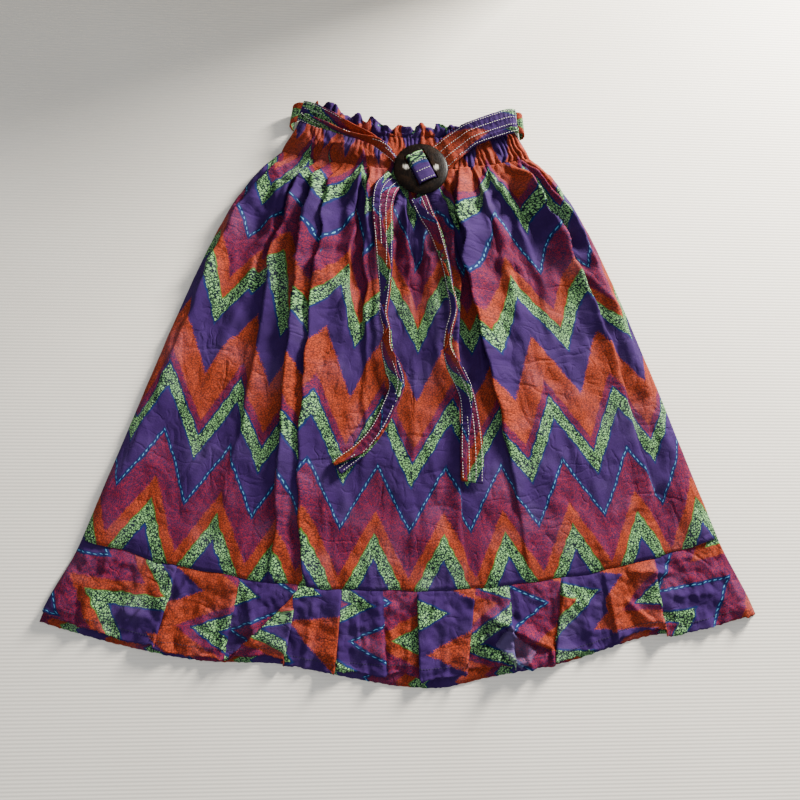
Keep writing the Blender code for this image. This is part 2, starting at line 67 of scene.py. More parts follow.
# The garment's fan, as in the part: metres and degrees
APEX_Y = 0.862
R_FRILL, R_STITCH, R_WAIST, R_RUFFLE = 0.549, 0.562, 0.606, 1.0895
R_HEM, R_BACK_HEM, R_RUFFLE_MIDDLE = 1.171, 1.180, 1.13
R_LOWER_STITCH, R_BELT_BACK, HALF_BELT_BACK = 0.6035, 0.565, 13
HALF_FAN, WAIST_DRAW, DRAW_REACH = 18.2, 3.9, 0.055
FRILL_DRAW, BAND_DEPTH, HEM_FLARE = 0.9, 0.05, 0.4
BACK_WALL, BELT_WALL, GAP = 0.0012, 0.0016, 0.0003
SHEET_WALL, STRIP_WALL, TURN_WALL = 0.0007, 0.0009, 0.0014      # of the fine shells
BACK_LIFT, BACK_SETTLE = 0.0023, 0.06
FRONT_LIFT, FRONT_SETTLE = 0.0054, 0.12
SEAT = 0.0017               # underside of the front where it lies on the back
RUCHE, FRONT_RUCHES = 0.0026, 44
EDGE_ROLL, SIDE_PUFF, PUFF_INWARD, PUFF_SPREAD = 0.011, 0.0045, 0.016, 0.034

# One row a gather: its crest's angle, its height in mm, and the cloth that it hides in mm, at each station
STATIONS = (0.606, 0.635, 0.700, 0.840, 0.980, 1.0895)
Gather = namedtuple("Gather", "angles heights hidden spread lean")
GATHERS = (
    Gather((-12.9, -13.9, -16.2, -17.0, -17.2, -17.2), (3, 8, 7, 3, 1, 0), (16, 12, 6, 6, 5, 0), 0.014, 0.3),
    Gather((-11.5, -12.0, -13.2, -14.0, -14.3, -14.6), (3, 7, 5, 2, 0, 0), (15, 2, -12, -5, 1, 0), 0.013, -0.2),
    Gather((-10.0, -10.4, -11.6, -11.2, -11.0, -11.0), (4, 12, 10, 5, 2, 1), (16, 14, 3, 4, 3, 0), 0.013, 0.4),
    Gather((-8.5, -8.6, -8.9, -8.6, -7.9, -7.4), (4, 14, 14, 8, 5, 3), (36, 56, 68, 36, 21, 20), 0.009, 0.5),
    Gather((-6.9, -7.2, -7.5, -7.3, -6.6, -5.5), (4, 11, 9, 6, 5, 4), (15, 10, 8, 26, 36, 28), 0.010, 0.5),
    Gather((-5.3, -5.5, -5.6, -5.2, -5.0, -4.9), (3, 9, 5, 1, 0, 1), (15, 12, 10, 0, 0, 0), 0.012, -0.3),
    Gather((-3.7, -3.7, -3.5, -3.0, -2.8, -2.6), (4, 10, 10, 4, 1, 0), (14, 14, 14, 2, 0, 0), 0.012, 0.3),
    Gather((-2.1, -2.1, -2.0, -1.4, -1.2, -1.0), (3, 4, 3, 1, 0, 0), (14, 12, 8, 0, 0, 0), 0.012, 0.0),
    Gather((-0.4, -0.4, -0.2, 0.4, 0.3, 0.2), (3, 4, 5, 2, 1, 1), (14, 14, 11, 0, 0, 0), 0.013, -0.2),
    Gather((1.2, 1.3, 1.7, 2.0, 1.8, 1.8), (3, 4, 5, 1, 1, 0), (13, 12, 7, 0, 0, 0), 0.012, 0.2),
    Gather((2.9, 3.2, 3.9, 3.7, 3.2, 3.0), (3, 6, 8, 5, 3, 1), (14, 12, 10, 12, 12, 0), 0.012, -0.4),
    Gather((4.6, 4.7, 5.1, 5.3, 5.0, 4.8), (3, 7, 3, 1, 0, 1), (14, 12, 8, 0, 0, 0), 0.011, 0.0),
    Gather((6.2, 6.5, 6.4, 6.9, 7.1, 7.0), (4, 14, 16, 11, 4, 1), (34, 44, 54, 37, 2, 0), 0.014, 0.5),
    Gather((7.9, 8.3, 9.0, 9.4, 9.3, 9.0), (3, 8, 4, 1, 1, 1), (14, 10, 4, 0, 0, 0), 0.014, 0.2),
    Gather((9.5, 10.0, 11.4, 12.4, 12.2, 12.0), (3, 7, 4, 1, 0, 1), (15, 10, 3, 0, 0, 0), 0.013, 0.1),
    Gather((11.1, 11.9, 14.0, 15.6, 15.2, 14.6), (4, 13, 12, 5, 2, 1), (18, 26, 28, 2, 8, 4), 0.014, -0.4),
    Gather((12.7, 13.9, 16.3, 17.3, 17.3, 17.2), (3, 8, 6, 3, 1, 0), (18, 14, 12, 6, 2, 0), 0.013, -0.2),
)
PACKED_SPREAD, PACKED_REACH = 0.0085, 0.10
LOOSE_END, LOOSE_FADE = 0.66, 0.16      # cloth is loose down to this radius, and settles over this stretch
# Close to the waist a gather that hides no more than this takes up its cloth evenly, this far to either side
SMALL_GATHER, SMALL_GATHER_FADE, EVEN_REACH = 0.022, 0.010, 0.014
Swell = namedtuple("Swell", "angle height spread lean top foot")
SWELL = Swell(-8.0, 7, 0.085, 0.1, 0.62, 0.93)      # the broad rise of the left half
OVERHANG = 2.2              # how far a fold's crest leans over its steep side, times its height

# One row a pleat of the hem ruffle: its edge's angle and height in mm at the seam and the hem
Pleat = namedtuple("Pleat", "seam hem seam_height hem_height spread lean")
PLEATS = (
    Pleat(-15.8, -16.5, 2, 6, 0.016, -0.3),
    Pleat(-14.3, -14.8, 1, 3, 0.014, 0.2),
    Pleat(-11.8, -12.9, 3, 6, 0.016, 0.5),
    Pleat(-9.9, -10.3, 1, 3, 0.013, 0.0),
    Pleat(-8.4, -8.0, 2, 6, 0.014, 0.4),
    Pleat(-6.4, -6.7, 4, 8, 0.013, -0.5),
    Pleat(-5.1, -5.2, 2, 6, 0.011, 0.3),
    Pleat(-3.8, -3.5, 3, 6, 0.012, 0.6),
    Pleat(-2.2, -2.2, 1, 4, 0.012, -0.2),
    Pleat(-0.9, -0.9, 2, 4, 0.011, 0.3),
    Pleat(0.7, 0.8, 3, 5, 0.013, 0.6),
    Pleat(2.0, 1.9, 1, 3, 0.011, 0.0),
    Pleat(3.5, 2.9, 2, 5, 0.012, 0.4),
    Pleat(4.9, 4.5, 2, 9, 0.012, -0.2),
    Pleat(6.0, 6.2, 2, 9, 0.011, 0.2),
    Pleat(8.2, 7.8, 2, 5, 0.013, 0.5),
    Pleat(9.8, 9.6, 2, 4, 0.012, -0.2),
    Pleat(11.2, 11.4, 4, 7, 0.014, 0.3),
    Pleat(13.4, 13.4, 2, 7, 0.015, -0.3),
    Pleat(15.6, 16.0, 2, 6, 0.016, 0.3),
)
Scallop = namedtuple("Scallop", "angle front back")
SCALLOPS = (
    Scallop(-18.6, 0.000, -0.001), Scallop(-14.2, 0.003, -0.002), Scallop(-10.5, 0.000, -0.004),
    Scallop(-6.2, -0.007, -0.012), Scallop(-3.0, 0.001, -0.004), Scallop(-0.2, 0.002, 0.004),
    Scallop(1.8, 0.002, 0.006), Scallop(4.2, 0.001, -0.001), Scallop(8.0, 0.000, -0.006),
    Scallop(12.4, -0.011, -0.015), Scallop(15.0, -0.002, -0.008), Scallop(18.6, 0.000, -0.003),
)

# The print, in metres of cloth: zigzag columns across, bands down
COLUMN = 0.074
ZIGZAG = 0.070
REPEAT = 0.292
LINE_MIDDLE = 0.992         # where a dashed line's zigzag has its middle, down the cloth
MIDDLE_ANGLES = (0.6, 0.6, 0.6, 0.8, 0.2, 0.0)      # angle of the middle column at each station
# One row a radius: how far down the print lies ahead of its radius at the left, middle and right
Slip = namedtuple("Slip", "radius left middle right")
SLIPS = (
    Slip(0.600, 0.011, -0.012, -0.024), Slip(0.655, 0.010, 0.008, -0.014), Slip(0.700, 0.014, 0.003, -0.014),
    Slip(0.735, 0.016, 0.002, -0.016), Slip(0.790, 0.011, 0.005, -0.014), Slip(0.840, 0.008, 0.006, -0.012),
    Slip(0.890, 0.001, 0.000, -0.012), Slip(0.960, 0.001, -0.002, -0.011), Slip(1.030, 0.002, 0.000, -0.007),
)
SLIP_ANGLE = 14.0


def smooth(t):
    t = np.clip(t, 0.0, 1.0)
    return t * t * (3 - 2 * t)


def through(x, knots, values):
    """A smooth curve through a row's values, flat past its ends."""
    knots, values = np.asarray(knots, float), np.asarray(values, float)
    k = np.arange(len(knots))
    ahead, behind = np.minimum(k + 1, k[-1]), np.maximum(k - 1, 0)
    slopes = (values[ahead] - values[behind]) / (knots[ahead] - knots[behind])
    x = np.clip(x, knots[0], knots[-1])
    i = np.clip(np.searchsorted(knots, x, side="right") - 1, 0, len(knots) - 2)
    step = knots[i + 1] - knots[i]
    t = (x - knots[i]) / step
    rise = values[i + 1] - values[i]
    m0, m1 = slopes[i] * step, slopes[i + 1] * step
    return values[i] + t * (m0 + t * (3 * rise - 2 * m0 - m1 + t * (m0 + m1 - 2 * rise)))


def fan(radius, angle):
    a = np.radians(angle)
    return radius * np.sin(a), APEX_Y - radius * np.cos(a)


def side_angle(radius):
    drawn = WAIST_DRAW * np.exp(-np.maximum(radius - R_WAIST, 0) / DRAW_REACH)
    turn_in = FRILL_DRAW * smooth((R_WAIST - radius) / BAND_DEPTH)
    flare = HEM_FLARE * smooth((radius - R_RUFFLE) / (R_HEM - R_RUFFLE))
    return HALF_FAN - drawn - turn_in + flare


def back_under(radius):
    return BACK_LIFT * (1 - smooth((radius - R_WAIST) / BACK_SETTLE))


def front_under(radius):
    return SEAT + (FRONT_LIFT - SEAT) * (1 - smooth((radius - R_WAIST) / FRONT_SETTLE))


def side_of(offset, spread, lean):
    return spread * np.where(offset < 0, 1 - lean, 1 + lean)


def ridge(offset, spread, lean):
    t = np.minimum(np.abs(offset) / side_of(offset, spread, lean), 1.0)
    return 0.55 * np.cos(t * np.pi / 2) ** 2 + 0.45 * (1 - t) ** 2


def tucked(offset, spread, lean):
    """Share of a fold's hidden cloth that lies left of a place: it goes into the steep side."""
    if lean > 0.15:
        start, end = -spread * (1 - lean), -0.1 * spread * (1 - lean)
    elif lean < -0.15:
        start, end = 0.1 * spread * (1 + lean), spread * (1 + lean)
    else:
        start, end = -spread, spread
    return smooth((offset - start) / (end - start))


def gathers(radius, angle, bent):
    """Height, sideways lean and cloth coordinate of the front; bent is the angle as the folds wander."""
    height, shift = np.zeros_like(angle), np.zeros_like(angle)
    opened = smooth((radius - R_WAIST) / PACKED_REACH)
    middle = through(radius, STATIONS, MIDDLE_ANGLES)
    across = np.radians(angle - middle) * radius
    for row in GATHERS:
        crest = through(radius, STATIONS, row.angles)
        tall = np.maximum(through(radius, STATIONS, row.heights), 0) / 1000
        spread = PACKED_SPREAD + (row.spread - PACKED_SPREAD) * opened
        offset = np.radians(bent - crest) * radius
        rise = tall * ridge(offset, spread, row.lean) ** 1.2
        shift = np.where(rise > height, -row.lean * OVERHANG * rise, shift)
        height = np.maximum(height, rise)
        hidden = through(radius, STATIONS, row.hidden) / 1000
        from_middle = np.radians(middle - crest) * radius
        steep = tucked(offset, spread, row.lean) - tucked(from_middle, spread, row.lean)
        even = smooth(offset / (2 * EVEN_REACH) + 0.5) - smooth(from_middle / (2 * EVEN_REACH) + 0.5)
        fine = (1 - opened) * (1 - smooth((hidden - SMALL_GATHER) / SMALL_GATHER_FADE))
        across = across + hidden * (steep + (even - steep) * fine)
    return height, shift, across


def side_roll(radius, angle, body, seat, puff=1.0):
    inward = np.radians(side_angle(radius) - np.abs(angle)) * radius
    share = np.minimum(np.abs(inward - PUFF_INWARD) / PUFF_SPREAD, 1)
    loose = smooth((radius - R_WAIST) / PUFF_SPREAD)
    body = body + puff * SIDE_PUFF * loose * np.cos(share * np.pi / 2) ** 2
    share = 1 - np.clip(inward, 0, EDGE_ROLL) / EDGE_ROLL
    return seat + np.maximum(body - seat, 0.0002) * np.sqrt(1 - share * share)


def down_cloth(radius, angle):
    """How far down the print a place is."""
    radii = [row.radius for row in SLIPS]
    left, middle, right = (through(radius, radii, [getattr(row, side) for row in SLIPS])
                           for side in ("left", "middle", "right"))
    t = np.clip(angle / SLIP_ANGLE, -1.2, 1.2)
    return radius + middle + t * (right - left) / 2 + t * t * ((right + left) / 2 - middle)


def between(crests, share, half):
    """Angles of grid columns, with the crests on grid lines."""
    knots = np.stack([-half, *crests, half])
    place = share * (len(knots) - 1)
    i = np.clip(place.astype(int), 0, len(knots) - 2)
    lower, upper = knots[i, np.arange(len(i))], knots[i + 1, np.arange(len(i))]
    return lower + (upper - lower) * (place - i)


def rumple(x, y, scale, seed):
    """Soft noise from -1 to 1 over a stretch of cloth."""
    points = zip(x.ravel(), y.ravel())
    values = [noise.noise(Vector((a / scale, b / scale, seed))) for a, b in points]
    return np.array(values).reshape(x.shape)


def crumple(x, y, scale, seed):
    """Sharp little ridges and valleys between soft planes, from about -0.5 to 0.5."""
    return np.abs(rumple(x, y, scale, seed)) - np.abs(rumple(x, y, scale, seed + 40.0))


# Small creases of the front, one row each: radius and angle of both ends, height and half width in mm, lean
Crease = namedtuple("Crease", "radius angle end_radius end_angle height width lean")
CREASES = (
    Crease(0.589, -9.9, 0.660, -8.7, 3.0, 5.0, -0.5),
    Crease(0.660, -8.7, 0.763, -7.1, 3.0, 6.0, -0.4),
    Crease(0.583, -6.1, 0.664, -3.6, 3.0, 5.0, 0.4),
    Crease(0.664, -3.6, 0.757, -2.5, 2.5, 6.0, 0.4),
    Crease(0.630, -0.7, 0.719, 0.5, 3.0, 5.0, -0.4),
    Crease(0.617, 4.3, 0.804, 3.2, 3.0, 6.0, 0.5),
    Crease(0.632, 6.7, 0.709, 6.0, 3.0, 5.0, 0.6),
    Crease(0.709, 6.0, 0.888, 5.6, 3.0, 6.0, 0.6),
    Crease(0.606, 11.3, 0.725, 14.5, 3.0, 6.0, -0.3),
    Crease(0.725, 14.5, 0.830, 18.0, 2.5, 7.0, -0.3),
    Crease(0.639, -17.0, 0.768, -16.8, 2.5, 6.0, 0.3),
    Crease(0.601, -14.0, 0.703, -13.1, 2.5, 5.0, -0.3),
    Crease(0.604, 13.8, 0.726, 17.8, 2.5, 6.0, 0.3),
    Crease(0.776, -7.6, 0.937, -7.0, 2.0, 5.0, -0.4),
    Crease(0.790, -2.6, 0.770, 2.0, 1.6, 5.0, 0.3),
    Crease(0.845, 5.6, 0.838, 8.8, 1.8, 5.0, 0.3),
    Crease(0.852, 11.8, 0.842, 14.8, 1.8, 5.0, -0.3),
    Crease(0.962, 3.0, 0.968, 6.0, 1.6, 5.0, 0.3),
    Crease(0.998, -1.8, 0.994, 1.2, 1.6, 5.0, 0.3),
    Crease(1.040, 13.0, 1.010, 17.0, 2.6, 6.0, 0.4),
    Crease(0.700, -12.6, 0.745, -14.8, 2.0, 6.0, 0.3),
    Crease(0.760, -11.5, 0.800, -13.8, 1.6, 6.0, -0.3),
    Crease(0.870, -9.8, 0.900, -12.6, 1.4, 6.0, 0.3),
    Crease(0.722, 8.6, 0.748, 11.4, 2.4, 6.0, -0.4),
    Crease(0.690, 3.6, 0.735, 1.4, 2.2, 5.0, 0.4),
    Crease(0.742, 1.4, 0.762, 4.2, 2.2, 5.0, 0.4),
    Crease(0.900, 0.8, 0.960, 1.6, 1.2, 6.0, 0.2),
    Crease(0.930, -12.4, 1.020, -13.4, 1.4, 7.0, 0.2),
    Crease(0.880, 10.4, 0.980, 11.4, 1.4, 7.0, -0.2),
    Crease(1.050, -9.4, 1.088, -9.8, 1.6, 6.0, 0.3),
    Crease(1.055, -2.4, 1.088, -2.0, 1.6, 6.0, 0.3),
    Crease(1.052, 5.2, 1.088, 4.6, 2.0, 6.0, -0.3),
    Crease(1.050, 11.0, 1.088, 11.6, 2.0, 6.0, 0.3),
)

# The hem ruffle's creases, with those that crumple its turned corner
RUFFLE_CREASES = (
    Crease(1.095, -12.6, 1.165, -14.4, 4.0, 8.0, 0.5),
    Crease(1.092, -15.4, 1.160, -17.4, 3.0, 8.0, -0.4),
    Crease(1.100, -8.9, 1.160, -7.6, 3.0, 6.0, 0.5),
    Crease(1.098, -2.9, 1.150, -2.5, 3.0, 6.0, -0.5),
    Crease(1.094, 1.6, 1.130, 1.2, 2.5, 6.0, 0.5),
    Crease(1.117, 4.0, 1.159, 7.7, 11.0, 8.0, 0.6),
    Crease(1.152, 3.1, 1.127, 5.0, 7.0, 6.0, -0.3),
    Crease(1.131, 4.7, 1.147, 6.4, 8.0, 5.0, 0.5),
    Crease(1.160, 4.6, 1.168, 6.4, 7.0, 6.0, 0.5),
    Crease(1.155, 7.5, 1.172, 7.3, 8.0, 6.0, 0.5),
    Crease(1.095, 8.4, 1.125, 9.6, 3.0, 6.0, -0.4),
    Crease(1.096, 12.4, 1.110, 15.0, 5.0, 8.0, 0.4),
    Crease(1.120, 11.8, 1.155, 13.0, 4.0, 7.0, -0.4),
    Crease(1.130, 14.2, 1.140, 16.8, 3.0, 7.0, 0.4),
)

# The ruffle's cut of cloth, one row a pleat from left to right: where it begins at the seam and the
# hem, how high its left edge stands and which way that leans, and a tip of the print: the tip's
# place, how far down the print it is in mm, whether it points right, and the print's turn
Cut = namedtuple("Cut", "seam hem height lean tip_radius tip_angle down right turn")
CUTS = (
    Cut(-19.5, -19.5, 0, 0.6, 1.1425, -15.6, 102, False, 20),
    Cut(-12.9, -12.9, 6, 0.7, 1.1451, -11.1, 220, False, 0),
    Cut(-9.5, -9.5, 4, 0.6, 1.1415, -9.2, 292, False, 0),
    Cut(-5.6, -8.7, 9, -0.6, 1.1367, -7.4, 102, False, 8),
    Cut(-6.2, -6.5, 7, 0.7, 1.1262, -6.3, 151, False, 16),
    Cut(-3.8, -3.9, 7, 0.7, 1.1412, -3.0, 292, False, 0),
    Cut(-1.7, -1.3, 5, 0.5, 1.1015, -1.0, 292, True, 0),
    Cut(0.7, 0.8, 7, -0.7, 1.1126, 2.2, 102, True, 0),
    Cut(3.6, 2.7, 7, 0.7, 1.1060, 4.9, 202, True, -6),
    Cut(5.4, 5.2, 7, 0.5, 1.1110, 7.6, 292, True, 0),
    Cut(8.9, 7.7, 7, -0.6, 1.1479, 9.9, 151, False, -8),
    Cut(11.2, 11.1, 6, -0.5, 1.1337, 12.5, 220, False, -14),
    Cut(13.9, 13.3, 7, 0.5, 1.1241, 13.8, 292, False, -24),
)
CUT_SPREAD = 0.012
# Where the hem is turned over and the cloth's paler wrong side shows: a corner's middle and half sizes
Patch = namedtuple("Patch", "radius angle out around")
TURNED = (Patch(1.1490, 5.3, 0.021, 0.015), Patch(1.1560, 5.8, 0.015, 0.018))
WRONG_SIDE = 7.4            # added to u there: a whole number of columns, so the print runs on
HEM_STEP = 0.0035            # how far the hem steps up or down from pleat to pleat
SEAM_TURNING = 0.0015       # how far the ruffle goes under the panel at their seam


def turned_over(radius, angle):
    """Above 0 within the turned corners of the hem, 1 at their middles."""
    inside = []
    for row in TURNED:
        along = np.abs(np.radians(angle - row.angle)) * row.radius / row.around
        inside.append(1 - along - np.abs(radius - row.radius) / row.out)
    return np.max(inside, axis=0)


def creases(x, y, rows):
    """Height of a table of short creases at places in plan."""
    height = np.zeros_like(x)
    for row in rows:
        ax, ay = fan(row.radius, row.angle)
        bx, by = fan(row.end_radius, row.end_angle)
        length = math.hypot(bx - ax, by - ay)
        ux, uy = (bx - ax) / length, (by - ay) / length
        along = ((x - ax) * ux + (y - ay) * uy) / length
        offset = (x - ax) * -uy + (y - ay) * ux
        fade = np.clip(1 - np.abs(2 * along - 1) ** 3, 0, 1)
        height = np.maximum(height, row.height / 1000 * fade * ridge(offset, row.width / 1000, row.lean))
    return height


def clear_of_buckle(x, y):
    """0 under the buckle, which presses the cloth flat, to 1 well away from it."""
    away = np.hypot(x - BUCKLE_CENTRE[0], y - BUCKLE_CENTRE[1])
    return smooth((away - 0.8 * BUCKLE_RADIUS) / BUCKLE_RADIUS)


def near_ruffle_seam(radius):
    return np.exp(-np.abs(radius - R_RUFFLE) / 0.016)


def seam_puckers(radius, angle):
    """Height that the panel and the ruffle share along the seam between them."""
    x, _ = fan(R_RUFFLE, angle)
    flat = np.zeros_like(x)
    puckers = 0.0022 * (crumple(x, flat, 0.011, 33.0) + 0.4) + 0.0016 * rumple(x, flat, 0.03, 35.0)
    return near_ruffle_seam(radius) * puckers


def seam_sway(radius, angle):
    """How far that seam strays from its radius."""
    x, _ = fan(R_RUFFLE, angle)
    return near_ruffle_seam(radius) * 0.0028 * rumple(x, np.zeros_like(x), 0.035, 37.0)


def panel_place(radius, angle):
    """Places and cloth coordinates of the front panel."""
    x, y = fan(radius, angle)
    loose = 1 - smooth((radius - LOOSE_END) / LOOSE_FADE)
    bent = angle + (0.25 + 0.45 * loose) * rumple(x, y * 1.3, 0.040, 21.0)
    rise, shift, across = gathers(radius, angle, bent)
    down = down_cloth(radius, angle)
    rise = rise + creases(x, y, CREASES)
    rise = rise + (0.0022 + 0.0060 * loose) * (crumple(across, down * 0.55, 0.020, 3.0) + 0.25)
    rise = rise + 0.0040 * (crumple(x, y * 0.7 + x * 0.3, 0.060, 7.0) + 0.3)
    rise = rise + 0.0010 * rumple(x, y, 0.014, 11.0)
    swell = ridge(np.radians(angle - SWELL.angle) * radius, SWELL.spread, SWELL.lean)
    swell = swell * smooth((radius - SWELL.top) / 0.1) * (1 - smooth((radius - SWELL.foot) / 0.14))
    rise = rise + SWELL.height / 1000 * swell
    below = radius - R_WAIST
    gathered = ruches(bent, side_angle(radius), FRONT_RUCHES, 2.0) * np.exp(-below / 0.035)
    pulled = np.exp(-below / 0.05) * (crumple(across, down * 0.2, 0.012, 23.0) + 0.3)
    rise = rise + 0.0030 * gathered + 0.0040 * pulled
    seam = smooth((R_RUFFLE - radius) / 0.016)
    from_waist = 0.4 + 0.6 * smooth(below / 0.03)
    rise = rise * (0.1 + 0.9 * seam) * from_waist * (0.3 + 0.7 * clear_of_buckle(x, y))
    body = front_under(radius) + 0.001 + rise + seam_puckers(radius, angle)
    x, y = fan(radius + seam_sway(radius, angle), angle)
    z = side_roll(radius, angle, body, back_under(radius) + BACK_WALL + GAP)
    return x + shift * seam, y, z, across, down


def front_panel_at(across, down):
    radius = R_WAIST + GAP + (R_RUFFLE - R_WAIST - 2 * GAP) * down ** 1.15
    crests = [through(radius, STATIONS, row.angles) for row in GATHERS]
    return panel_place(radius, between(crests, across, side_angle(radius)))


def back_panel_at(across, down):
    radius = R_WAIST + GAP + (R_RUFFLE - R_WAIST - 2 * GAP) * down
    angle = side_angle(radius) * (2 * across - 1)
    x, y = fan(radius, angle)
    return x, y, back_under(radius) + 0.0002, -np.radians(angle) * 0.95, radius + 0.12


def scallop(angle, edge):
    return through(angle, [row.angle for row in SCALLOPS], [getattr(row, edge) for row in SCALLOPS])


def cut_line(row, down):
    return row.seam + (row.hem - row.seam) * down


def ruffle_print(radius, angle, row):
    """Cloth coordinates of the ruffle, whose print runs round the hem."""
    ahead = np.radians(angle - row.tip_angle) * row.tip_radius
    out = radius - row.tip_radius
    c, s = math.cos(math.radians(row.turn)), math.sin(math.radians(row.turn))
    along, off = ahead * c + out * s, out * c - ahead * s
    start = row.down / 1000 + LINE_MIDDLE + (0.5 if row.right else -0.5) * ZIGZAG
    return off + (0 if row.right else 0.5) * COLUMN, along + start


def front_ruffle_at(across, down):
    radius = R_RUFFLE - SEAM_TURNING + (R_HEM - R_RUFFLE + SEAM_TURNING) * down
    angle = side_angle(radius) * (2 * across - 1)
    height, shift = np.zeros_like(angle), np.zeros_like(angle)
    opened = 0.55 + 0.45 * down
    for row in CUTS[1:]:
        offset = np.radians(angle - cut_line(row, down)) * radius
        rise = row.height / 1000 * opened * ridge(offset, CUT_SPREAD, -row.lean)
        shift = np.where(rise > height, row.lean * rise, shift)
        height = np.maximum(height, rise)
    for row in PLEATS:
        offset = np.radians(angle - row.seam - (row.hem - row.seam) * down) * radius
        tall = (row.seam_height + (row.hem_height - row.seam_height) * down) / 1000
        height = np.maximum(height, 0.6 * tall * ridge(offset, row.spread * 0.8, row.lean))
    seat = BACK_WALL + GAP
    x, y = fan(radius + scallop(angle, "front") * down ** 2 + seam_sway(radius, angle), angle)
    height = height + (0.0030 + 0.0038 * down) * (crumple(x, y, 0.026, 5.0) + 0.2)
    height = height + 0.0020 * crumple(x, y, 0.011, 9.0)
    height = height + creases(x, y, RUFFLE_CREASES) + 0.0035 * smooth(turned_over(radius, angle) * 6)
    step = np.zeros_like(angle)
    for number, row in enumerate(CUTS):
        step = np.where(angle >= cut_line(row, down), HEM_STEP * math.sin(2.4 * number + 1), step)
    y = y + step * down ** 2
    frayed = smooth((down - 0.95) / 0.05)
    y = y + frayed * (0.0016 * rumple(x, y, 0.0035, 1.0) + 0.004 * rumple(x, y, 0.022, 1.0))
    body = seat + 0.0012 + height * (0.1 + 0.9 * smooth(down * 7)) + seam_puckers(radius, angle)
    body = body - 0.0011 * smooth(1 - down / 0.045)
    z = side_roll(radius, angle, body, seat, puff=0.5)
    return x + shift * smooth(down * 10), y, z, angle, radius


def back_ruffle_at(across, down):
    radius = R_RUFFLE + GAP + (R_BACK_HEM - R_RUFFLE - GAP) * down
    angle = side_angle(radius) * (2 * across - 1)
    x, y = fan(radius + scallop(angle, "back") * down ** 2, angle)
    y = y + 0.0012 * smooth((down - 0.97) / 0.03) * rumple(x, y, 0.0035, 2.0)
    z = 0.0002 + 0.0005 * (crumple(x, y, 0.02, 4.0) + 0.5)
    return x, y, z, radius * 1.1, 1.9 * np.radians(angle) + 1.03


def ruches(angle, half, count, seed):
    """Uneven little waves along the elastic, from 0 to 1."""
    drift = 0.35 * rumple(angle / half, np.full_like(angle, seed), 0.09, seed)
    return 0.5 - 0.5 * np.cos(2 * math.pi * (count / 2 * (1 + angle / half) + drift))


def waistband_at(across, down):
    """The front casing, ruched on its elastic, and the looser frill above it."""
    radius = R_FRILL + (R_WAIST - GAP - R_FRILL) * down
    half = side_angle(radius)
    angle = half * (2 * across - 1)
    frill = smooth((R_STITCH + 0.004 - radius) / (R_STITCH - R_FRILL))
    x, y = fan(radius, angle)
    wander = 0.8 * rumple(x, y, 0.026, 13.0)
    wave = ruches(angle + wander, half, FRONT_RUCHES, 2.0)
    held = np.exp(-((radius - R_STITCH) / 0.0022) ** 2)
    held = held + 0.5 * np.exp(-((radius - R_LOWER_STITCH) / 0.002) ** 2)
    puffs = crumple(x, y * 0.8, 0.013, 17.0) + 0.35
    # left of the buckle the belt has flattened the tubes
    shirred = 0.45 + 0.55 * smooth((angle + 3) / 5)
    tubes = RUCHE * (1.2 - 0.7 * frill) * shirred * wave ** 0.8 * (0.4 + 0.9 * puffs)
    height = (tubes + (0.0025 + 0.010 * frill) * puffs) * (1 - 0.5 * held)
    height = height + frill * 0.003 * (crumple(x, y, 0.007, 27.0) + 0.2)
    top = through(angle, [row.angle for row in FRILL_TOPS], [row.past for row in FRILL_TOPS])
    edge = top - 0.009 * rumple(x, y, 0.015, 6.0) - 0.004 * rumple(x, y, 0.006, 8.0) - 0.001
    x, y = fan(radius - frill * edge, angle)
    seat = BACK_LIFT + BACK_WALL + GAP
    z = side_roll(radius, angle, FRONT_LIFT + 0.0006 + height * (0.4 + 0.6 * clear_of_buckle(x, y)), seat)
    u = gathers(np.full_like(radius, R_WAIST), angle, angle + wander)[2]
    u = u + frill * 0.020 * rumple(x, y, 0.014, 19.0)
    v = down_cloth(radius, angle) + frill * 0.020 * rumple(x, y, 0.016, 29.0)
    return x + 0.005 * frill * rumple(x, y, 0.012, 3.0), y, z, u, v


def back_band_at(across, down):
    radius = R_FRILL + 0.002 + (R_WAIST - GAP - R_FRILL - 0.002) * down
    half = side_angle(radius)
    angle = half * (2 * across - 1)
    wave = ruches(angle, half, FRONT_RUCHES, 5.0)
    frill = smooth((R_STITCH - radius) / (R_STITCH - R_FRILL))
    x, y = fan(radius, angle)
    z = BACK_LIFT + 0.0002 + 0.0010 * wave * (1 - frill)
    y = y - frill * 0.004 * rumple(x, y, 0.01, 8.0)
    return x, y, z, np.radians(angle) * radius * 2.3 + 0.03, radius + 0.07


# One row a station of the frill's top, as in the part: angle, and how far it stands past its radius
FrillTop = namedtuple("FrillTop", "angle past")
FRILL_TOPS = (FrillTop(-13.4, 0.006), FrillTop(-12.0, 0.015), FrillTop(-10.4, 0.016), FrillTop(-8.6, 0.011),
              FrillTop(-6.4, 0.007), FrillTop(-4.4, 0.003), FrillTop(-2.0, -0.002), FrillTop(1.0, 0.0),
              FrillTop(7.0, -0.001), FrillTop(9.2, -0.002), FrillTop(10.6, -0.001), FrillTop(13.4, -0.003))

